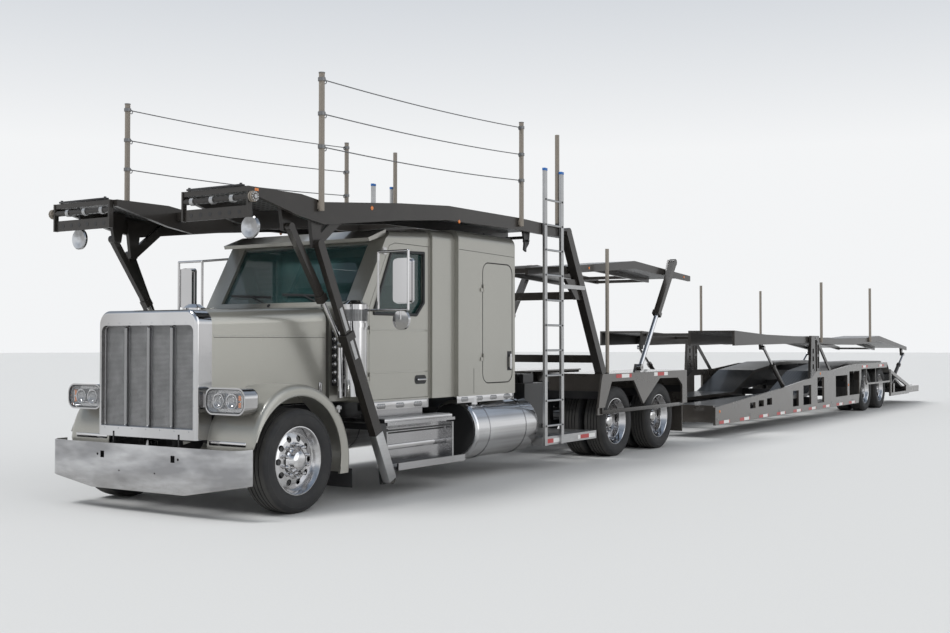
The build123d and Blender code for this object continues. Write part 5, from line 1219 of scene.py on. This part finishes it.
class TRANSPORTER_OT_side_fittings(bpy.types.Operator):
    """Makes the tank's ends and cap, the cleaners' mesh bands, the ladders' caps and the reflectors"""

    bl_idname = "transporter.side_fittings"
    bl_label = "Side fittings"

    def execute(self, context):
        self.tanks()
        self.cleaners()
        self.ladder_caps()
        self.tractor_tape()
        self.guard_bars()
        self.leg_shoes()
        self.step_trim()
        return {"FINISHED"}

    def step_trim(self):
        """The ribbed pads on both treads, and the band across the riser panel with a black strip for its
        slot, painted shade.
        """
        bm = bmesh.new()
        for x0, x1, s0, s1, z in ((1.060, 1.262, 2.165, 3.315, 0.290), (0.985, 1.172, 2.075, 3.225, 0.760)):
            cuboid(bm, (x0, x1), (s0, s1), (z - 0.001, z + 0.003))
            for k in range(PAD_RIBS):
                x = x0 + (x1 - x0) * (k + 0.5) / PAD_RIBS
                beam(bm, point(x, s0 + 0.01, z + 0.004), point(x, s1 - 0.01, z + 0.004), 0.010, 0.005)
        paired(bm, "step_pads", "tractor", finish.alloy)
        bm = bmesh.new()
        cuboid(bm, (1.043, 1.058), (2.176, 3.304), (0.440, 0.492), 0.006)
        cuboid(bm, (1.178, 1.186), (2.062, 3.238), (0.722, 0.758), 0.003)
        paired(bm, "step_bands", "tractor", finish.polished)
        # painted shade: thin black strips stand for the slots' dark openings
        bm = bmesh.new()
        cuboid(bm, (1.043, 1.0465), (2.20, 3.28), (0.598, 0.614))
        cuboid(bm, (1.178, 1.1815), (2.07, 3.23), (0.640, 0.656))
        paired(bm, "step_slot_shades", "tractor", finish.seam)

    def tanks(self):
        """A black disc at each tank's front end, painted shade there, and its cap."""
        (_, side), (front, _), _ = extent("fuel_tanks")
        radius = side - TANK_X - 0.008
        guard = [(-0.003, 0.0), (-0.003, radius - 0.05), (0.012, radius - 0.03), (0.012, radius - 0.055),
                 (0.004, 0.0)]
        bm = bmesh.new()
        # painted shade: a black disc stands for the shade on the tank's front end
        turned(bm, guard, point(TANK_X, front - 0.001, TANK_Z), Y_AXIS)
        paired(bm, "tank_ends", "tractor", finish.frame)
        bm = bmesh.new()
        cap = point(TANK_X + 0.17, front + 0.15, TANK_Z + radius + 0.012)
        rod(bm, cap, cap + Z_AXIS * 0.022, 0.056, 24)
        rod(bm, cap + Z_AXIS * 0.022, cap + Z_AXIS * 0.034, 0.030)
        paired(bm, "tank_caps", "tractor", finish.chrome)

    def cleaners(self):
        """The perforated band round each air cleaner's head, its holes dark with the weave's painted shade.
        """
        bm = bmesh.new()
        band = [(-0.055, 0.1255), (-0.055, 0.1275), (0.055, 0.1275), (0.055, 0.1255)]
        turned(bm, band, point(*CLEANER_HEAD), Z_AXIS)
        paired(bm, "cleaner_mesh", "tractor", finish.weave)

    def ladder_caps(self):
        """The blue caps on the ladders' tops and the bolts of their rungs."""
        top = extent("ladders")[2][1]
        x0, x1 = LADDER_X
        bm, bolts = bmesh.new(), bmesh.new()
        for s in LADDER_RAILS:
            cuboid(bm, (x0 - 0.003, x1 + 0.003), (s - 0.035, s + 0.035), (top - 0.028, top + 0.004), 0.003)
            for i in range(RUNGS):
                bolt = point(x1, s, RUNG_FOOT + i * RUNG_PITCH)
                rod(bolts, bolt, bolt + X_AXIS * 0.006, 0.012, 10)
        paired(bm, "ladder_caps", "tractor", finish.cap_blue)
        paired(bolts, "ladder_bolts", "tractor", finish.frame)

    def tractor_tape(self):
        """Reflector tape on the fenders' top edges and the low side boards."""
        height = sizes().tape
        fender_tape = FENDER_TOP - 0.012 - height
        bm = bmesh.new()
        for x, z, s0, s1 in ((FENDER_SIDE, fender_tape, 6.95, 7.42), (FENDER_SIDE, fender_tape, 8.15, 8.62),
                             (BOARD_SIDE, BOARD_LOW, 5.05, 5.50), (BOARD_SIDE, BOARD_LOW, 5.90, 6.36)):
            cuboid(bm, (x, x + 0.0015), (s0, s1), (z, z + height))
        paired(bm, "tractor_tape", "tractor", finish.tape)

    def guard_bars(self):
        """The long guard bar outside the drive wheels, on its stays."""
        bm = bmesh.new()
        z = 0.610
        cuboid(bm, (1.258, 1.282), (6.56, 9.20), (z - 0.026, z + 0.026), 0.003)
        for s in (6.575, 9.185):
            cuboid(bm, (1.262, 1.280), (s - 0.02, s + 0.02), (z, 0.70), 0.003)
        paired(bm, "guard_bars", "tractor", finish.leg)

    def leg_shoes(self):
        """The bright shoes and patches on the front legs, and the dull posts on the drive fenders."""
        run = (LEG_HEAD - LEG_FOOT).normalized()
        barrel, inner = LEG_FOOT + X_AXIS * 0.0412, LEG_FOOT + X_AXIS * 0.0312
        bm = bmesh.new()
        beam(bm, LEG_FOOT - run * 0.01, LEG_FOOT + run * 0.50, 0.086, 0.116, bevel=0.003)
        beam(bm, barrel + run * 1.30, barrel + run * 1.54, 0.002, 0.045)
        paired(bm, "leg_shoes", "front_leg_barrels", finish.alloy)
        bm = bmesh.new()
        beam(bm, inner + run * 1.59, inner + run * 1.82, 0.002, 0.040)
        paired(bm, "leg_patches", "front_leg_rods", finish.alloy)
        bm = bmesh.new()
        rod(bm, point(1.262, 6.745, 1.120), point(1.262, 6.745, 2.741), 0.0248, 20)
        paired(bm, "fender_posts", "tractor", finish.post)


# Decks

POST_X = 1.292
CABLE_POSTS = ((0.980, 3.950), (4.500, 4.050))  # station and top of the posts that carry cables
CABLE_DROPS = (0.060, 0.370, 0.670)
LATCH_PLATE = ((4.72, 2.82), (4.88, 2.82), (4.86, 2.68), (4.80, 2.62), (4.80, 2.58), (4.75, 2.60),
               (4.76, 2.68))  # station and height
TIE_X, TIE_STATION, TIE_Z = (0.470, 1.265), 0.100, 2.740  # the left tie-down shaft's line


class TRANSPORTER_OT_cables(bpy.types.Operator):
    """Makes the slack cables between the head deck's posts, with their clips and rings"""

    bl_idname = "transporter.cables"
    bl_label = "Deck cables"

    def execute(self, context):
        radius, sag = sizes().cable, sizes().sag
        (s0, top0), (s1, top1) = CABLE_POSTS
        for side, sign in SIDES:
            x = sign * POST_X
            for number, drop in enumerate(CABLE_DROPS):
                points = []
                for share in (0, 0.04, 0.2, 0.4, 0.6, 0.8, 0.96, 1):
                    hang = 4 * sag * share * (1 - share)
                    height = top0 + (top1 - top0) * share - drop - hang
                    points.append(point(x, s0 + (s1 - s0) * share, height))
                rope(f"cable_{side}_{number}", points, radius, "head_deck", finish.cable)
        bm = bmesh.new()
        clip = [(-0.016, 0.0275), (-0.016, 0.035), (0.016, 0.035), (0.016, 0.0275)]
        for (s, top), inward in zip(CABLE_POSTS, (1, -1)):
            for drop in CABLE_DROPS:
                centre = point(POST_X, s, top - drop)
                turned(bm, clip, centre, Z_AXIS, 20)
                spot = centre + Vector((0, 0.045 * inward, -0.012))
                loop_rods(bm, [spot + Vector((0, y, z)) for y, z in circle(0.020, 12)], 0.0045, 6)
            rod(bm, point(POST_X, s, top - 0.004), point(POST_X, s, top + 0.004), 0.030, 20)
        paired(bm, "cable_clips", "head_deck", finish.cable)
        return {"FINISHED"}


class TRANSPORTER_OT_tie_units(bpy.types.Operator):
    """Makes the ratchet tie-down shafts, their heads, hooks and lamps on the head deck's front end"""

    bl_idname = "transporter.tie_units"
    bl_label = "Tie-down units"

    def execute(self, context):
        (x0, x1), station, z = TIE_X, TIE_STATION, TIE_Z
        band = [(-0.02, 0.0265), (-0.02, 0.036), (0.02, 0.036), (0.02, 0.0265)]
        bm = bmesh.new()
        for x in (x0 + 0.12, x0 + 0.36, x0 + 0.60):
            turned(bm, band, point(x, station, z), X_AXIS, 20)
        end = point(x1 + 0.048, station, z)
        for y, rise in circle(0.034, 10):
            spot = end + Vector((0, y, rise))
            rod(bm, spot, spot + X_AXIS * 0.012, 0.007, 8)
        rod(bm, end, end + X_AXIS * 0.016, 0.020, 6)
        paired(bm, "tie_ratchets", "head_deck", finish.alloy)
        bm = bmesh.new()
        for k in range(6):
            x = x0 + 0.10 + k * 0.115
            rod(bm, point(x, station - 0.0095, 2.62), point(x, station - 0.0085, 2.62), 0.020)
        cuboid(bm, (x0 + 0.06, x1 - 0.08), (station - 0.030, station + 0.02), (2.834, 2.852), 0.005)
        for x in (x0 + 0.08, x1 - 0.10):
            rod(bm, point(x, station - 0.01, 2.83), point(x, station - 0.01, 2.862), 0.012, 8)
        paired(bm, "tie_plates", "head_deck", finish.frame)
        bm = bmesh.new()
        cuboid(bm, (x1 - 0.055, x1 + 0.001), (station + 0.05, station + 0.10), (2.795, 2.822), 0.004)
        paired(bm, "tie_lamps", "head_deck", finish.amber)
        self.latches()
        return {"FINISHED"}

    def latches(self):
        """The latch brackets that hang from the head deck's rear end, and the lamps along its edge."""
        bm = bmesh.new()
        for x in (0.62, 1.16):
            side_prism(bm, LATCH_PLATE, x, x + 0.022)
            rod(bm, point(x - 0.03, 4.81, 2.71), point(x + 0.05, 4.81, 2.71), 0.014, 10)
        rod(bm, point(0.62, 4.79, 2.75), point(1.18, 4.79, 2.75), 0.018, 12)
        paired(bm, "deck_latches", "head_deck", finish.frame)
        bm = bmesh.new()
        for s in (1.75, 3.25, 5.05):
            ball(bm, point(1.266, s, 2.80), 0.020, 0.4, X_AXIS)
        paired(bm, "deck_lamps", "head_deck", finish.amber)
        bm = bmesh.new()
        for s, z in ((6.45, 2.478), (9.55, 2.504)):
            ball(bm, point(1.151, s, z), 0.018, 0.4, X_AXIS)
        paired(bm, "mid_deck_lamps", "mid_deck", finish.amber)


class TRANSPORTER_OT_hoses(bpy.types.Operator):
    """Makes the hoses from the sleeper to the valves and up the rear legs"""

    bl_idname = "transporter.hoses"
    bl_label = "Hoses"

    def execute(self, context):
        rear, low = SLEEPER_REAR, 1.30
        runs = (
            ("air_hose_1", -0.30, 1.62, -0.10, finish.hose),
            ("air_hose_2", -0.18, 1.58, 0.02, finish.green),
            ("air_hose_3", -0.06, 1.54, 0.14, finish.hose),
            ("air_hose_4", 0.10, 1.60, 0.24, finish.hose),
        )  # name, offset and height at the sleeper, offset at the valves, finish
        for name, x0, z0, x1, material in runs:
            points = [point(x0, rear - 0.002, z0), point(x0, rear + 0.07, z0 - 0.005),
                      point(x0 + 0.02, rear + 0.20, z0 - 0.20), point(x1 - 0.02, rear + 0.30, low - 0.02),
                      point(x1, rear + 0.40, low + 0.06), point(x1, rear + 0.42, low + 0.015)]
            rope(name, points, 0.011, "tractor", material)
        bm = bmesh.new()
        for _, x0, z0, _, _ in runs:
            rod(bm, point(x0, rear, z0), point(x0, rear + 0.035, z0), 0.017, 12)
        for _, _, _, x1, _ in runs:
            rod(bm, point(x1, rear + 0.42, low - 0.01), point(x1, rear + 0.42, low + 0.03), 0.017, 12)
        finished(bm, "hose_ends", "tractor", finish.alloy)
        return {"FINISHED"}


# Trailer


class TRANSPORTER_OT_trailer_fittings(bpy.types.Operator):
    """Makes the trailer's reflector tape, its lamps and the bolts of its side plates"""

    bl_idname = "transporter.trailer_fittings"
    bl_label = "Trailer fittings"

    def execute(self, context):
        face = SIDE
        bm = bmesh.new()
        stretches = [(10.60 + i * 2 * TAPE_PITCH, 0.222) for i in range(9)] + [(19.0, 0.96), (20.4, 0.96)]
        for s, z in stretches:
            cuboid(bm, (face, face + 0.0014), (s, s + TAPE_PITCH), (z, z + sizes().tape))
        paired(bm, "trailer_tape", "trailer", finish.tape)
        bm = bmesh.new()
        for s, z in ((10.62, 0.42), (15.95, 0.90), (17.925, 0.62)):
            ball(bm, point(face + 0.001, s, z), 0.026, 0.4, X_AXIS)
        paired(bm, "trailer_marker_lamps", "trailer", finish.amber)
        bm = bmesh.new()
        tail = CAD_BOX[1].y - FRONT
        for offsets, reach, radius, sides in (((-1.20, -1.08, 1.08, 1.20), 0.006, 0.052, 24),
                                              ((-0.20, 0.0, 0.20), 0.005, 0.022, 16)):
            for x in offsets:
                rod(bm, point(x, tail - 0.012, 0.345), point(x, tail + reach, 0.345), radius, sides)
        finished(bm, "tail_lamps", "trailer", finish.red)
        bm = bmesh.new()
        for station in (10.52, 12.00, 13.5, 15.35, 16.70, 18.2):
            rod(bm, point(face, station, 0.30), point(face + 0.008, station, 0.30), 0.013, 6)
        for station, z in ((15.38, 0.90), (15.60, 0.98), (15.38, 0.96), (15.82, 1.52), (15.66, 1.60)):
            rod(bm, point(face, station, z), point(face + 0.010, station, z), 0.016, 6)
        paired(bm, "trailer_bolts", "trailer", finish.alloy)
        return {"FINISHED"}


class TRANSPORTER_OT_finishes(bpy.types.Operator):
    """Gives every solid of the frame its finish"""

    bl_idname = "transporter.finishes"
    bl_label = "Finishes"

    def execute(self, context):
        global finish
        finish = Finishes()
        sets = (
            (finish.body, ("cab_shell", "sleeper_shell",
                           "door_left", "door_right", "hatch_left", "hatch_right",
                           "hood_shell", "fenders")),
            (finish.frame, ("tractor_frame", "tractor_axles", "knuckle_left", "knuckle_right", "service_gear",
                            "trailer_chassis")),
            (finish.leg, ("rear_legs", "front_leg_barrels", "front_leg_rods", "lift_barrels", "mid_barrels",
                          "trailer_front_barrels", "trailer_rear_barrels", "trailer_uprights")),
            (finish.plate, ("trailer_sides", "trailer_rear_frame", "drive_fenders")),
            (finish.chrome, ("grille_crown", "headlamps", "mirrors", "air_cleaners")),
            (finish.bumper, ("bumper",)),
            (finish.polished, ("fuel_tanks",)),
            (finish.alloy, ("ladders",)),
            (finish.step, ("cab_steps",)),
            (finish.rod, ("lift_rods", "mid_rods", "trailer_front_rods", "trailer_rear_rods")),
            (finish.cast, ("engine",)),
            (finish.window, ("door_glass_left", "door_glass_right")),
            (finish.screen, ("windscreen",)),
            (finish.trim, ("cab_interior",)),
            (finish.weave, ("grille",)),
            (finish.floor_runway, ("trailer_floor",)),
            (finish.head_deck, ("head_deck", "mid_deck")),
            (finish.low_deck, ("trailer_front_deck", "trailer_rear_deck")),
        )
        for material, nodes in sets:
            dress(material, *nodes)
        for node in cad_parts:
            if node.startswith("wheel_"):
                dress(finish.rubber, node)
        return {"FINISHED"}


# Stage

PHOTO_WIDTH = 950
PHOTO_HEIGHT = 633
HORIZON_ROW = 342
FOCAL = 1179  # pixels of the photograph
CAMERA = (8.22, -7.15, 1.52)  # offset, station and height
CAMERA_TURN = 33.0  # degrees from straight astern towards the right
# Share of the way up to the zenith, and the colour there.
SKY_STOPS = ((0.00, (0.90, 0.91, 0.92)), (0.16, (0.90, 0.91, 0.92)), (0.42, (0.40, 0.45, 0.52)),
             (1.0, (0.24, 0.30, 0.39)))


class TRANSPORTER_OT_stage(bpy.types.Operator):
    """Makes the pale floor, the soft lights and the camera at the photograph's place"""

    bl_idname = "transporter.stage"
    bl_label = "Stage"

    def execute(self, context):
        self.floor()
        self.lights()
        self.world()
        self.camera()
        context.scene.view_settings.view_transform = "Standard"
        return {"FINISHED"}

    def floor(self):
        bm = bmesh.new()
        bmesh.ops.create_circle(bm, cap_ends=True, segments=64, radius=160)
        mesh = bpy.data.meshes.new("floor")
        bm.to_mesh(mesh)
        bm.free()
        floor = bpy.data.objects.new("floor", mesh)
        bpy.context.scene.collection.objects.link(floor)
        shader = Shader("floor_pale", (0.60, 0.60, 0.59), 0.9)
        grit = shader.noise(60, 3, 0.6)
        shader.colour(shader.mix(grit, (0.58, 0.58, 0.57), (0.62, 0.62, 0.61)))
        mesh.materials.append(shader.material)

    def lights(self):
        """A soft key from ahead and the right, and a weak fill from the left side."""
        lamps = (("key", (-0.30, -0.55, 1.0), 2.0, 22), ("side", (1.0, 0.10, 0.55), 0.75, 60))
        for name, towards, power, spread in lamps:
            data = bpy.data.lights.new(name, "SUN")
            data.energy = power
            data.angle = radians(spread)
            lamp = bpy.data.objects.new(name, data)
            lamp.rotation_euler = Vector(towards).to_track_quat("Z", "Y").to_euler()
            bpy.context.scene.collection.objects.link(lamp)

    def world(self):
        """An even pale light; the eye, metal and glass see a white horizon under a greyer zenith."""
        world = bpy.data.worlds.new("studio")
        bpy.context.scene.world = world
        world.use_nodes = True
        tree = Tree(world.node_tree)
        up = tree.axes("Generated")[2]
        ramp = tree.node("ShaderNodeValToRGB", {"stops": SKY_STOPS}, {0: up})
        even = tree.node("ShaderNodeBackground", None, {"Color": (0.58, 0.60, 0.63)})
        seen = tree.node("ShaderNodeBackground", None, {"Color": ramp.outputs[0]})
        rays = tree.node("ShaderNodeLightPath").outputs
        direct = Num(tree, rays["Is Camera Ray"])
        for kind in ("Is Glossy Ray", "Is Transmission Ray"):
            direct = direct.math("MAXIMUM", Num(tree, rays[kind]))
        choose = tree.node("ShaderNodeMixShader", None, {0: direct, 1: even.outputs[0], 2: seen.outputs[0]})
        tree.node("ShaderNodeOutputWorld", None, {"Surface": choose.outputs[0]})

    def camera(self):
        data = bpy.data.cameras.new("camera")
        data.sensor_width = 36
        data.lens = FOCAL / PHOTO_WIDTH * 36
        data.clip_end = 500
        camera = bpy.data.objects.new("camera", data)
        camera.location = point(*CAMERA)
        tilt = (HORIZON_ROW - PHOTO_HEIGHT / 2) / FOCAL
        camera.rotation_euler = (pi / 2 + tilt, 0, radians(CAMERA_TURN))
        bpy.context.scene.collection.objects.link(camera)
        bpy.context.scene.camera = camera


MAKERS = (
    TRANSPORTER_OT_finishes,
    TRANSPORTER_OT_stage,
    TRANSPORTER_OT_wheels,
    TRANSPORTER_OT_grille,
    TRANSPORTER_OT_hood_trim,
    TRANSPORTER_OT_headlamps,
    TRANSPORTER_OT_cab_trim,
    TRANSPORTER_OT_mirror_glass,
    TRANSPORTER_OT_side_fittings,
    TRANSPORTER_OT_cables,
    TRANSPORTER_OT_tie_units,
    TRANSPORTER_OT_hoses,
    TRANSPORTER_OT_trailer_fittings,
)


class TRANSPORTER_PT_panel(bpy.types.Panel):
    """Lists the lorry's colours, sizes and makers in the sidebar"""

    bl_idname = "TRANSPORTER_PT_panel"
    bl_label = "Car transporter"
    bl_space_type = "VIEW_3D"
    bl_region_type = "UI"
    bl_category = "Transporter"

    def draw(self, context):
        for group in (context.scene.transporter_colours, context.scene.transporter_sizes):
            for name in group.__annotations__:
                self.layout.prop(group, name)
        for maker in MAKERS:
            self.layout.operator(maker.bl_idname)


CLASSES = (TransporterColours, TransporterSizes, *MAKERS, TRANSPORTER_PT_panel)


def register():
    for made in CLASSES:
        bpy.utils.register_class(made)
    bpy.types.Scene.transporter_colours = bpy.props.PointerProperty(type=TransporterColours)
    bpy.types.Scene.transporter_sizes = bpy.props.PointerProperty(type=TransporterSizes)


def unregister():
    del bpy.types.Scene.transporter_sizes
    del bpy.types.Scene.transporter_colours
    for made in reversed(CLASSES):
        bpy.utils.unregister_class(made)


def main():
    register()
    bpy.ops.transporter.finishes()
    bpy.ops.transporter.stage()
    bpy.ops.transporter.wheels()
    bpy.ops.transporter.grille()
    bpy.ops.transporter.hood_trim()
    bpy.ops.transporter.headlamps()
    bpy.ops.transporter.cab_trim()
    bpy.ops.transporter.mirror_glass()
    bpy.ops.transporter.side_fittings()
    bpy.ops.transporter.cables()
    bpy.ops.transporter.tie_units()
    bpy.ops.transporter.hoses()
    bpy.ops.transporter.trailer_fittings()


if __name__ == "__main__":
    main()
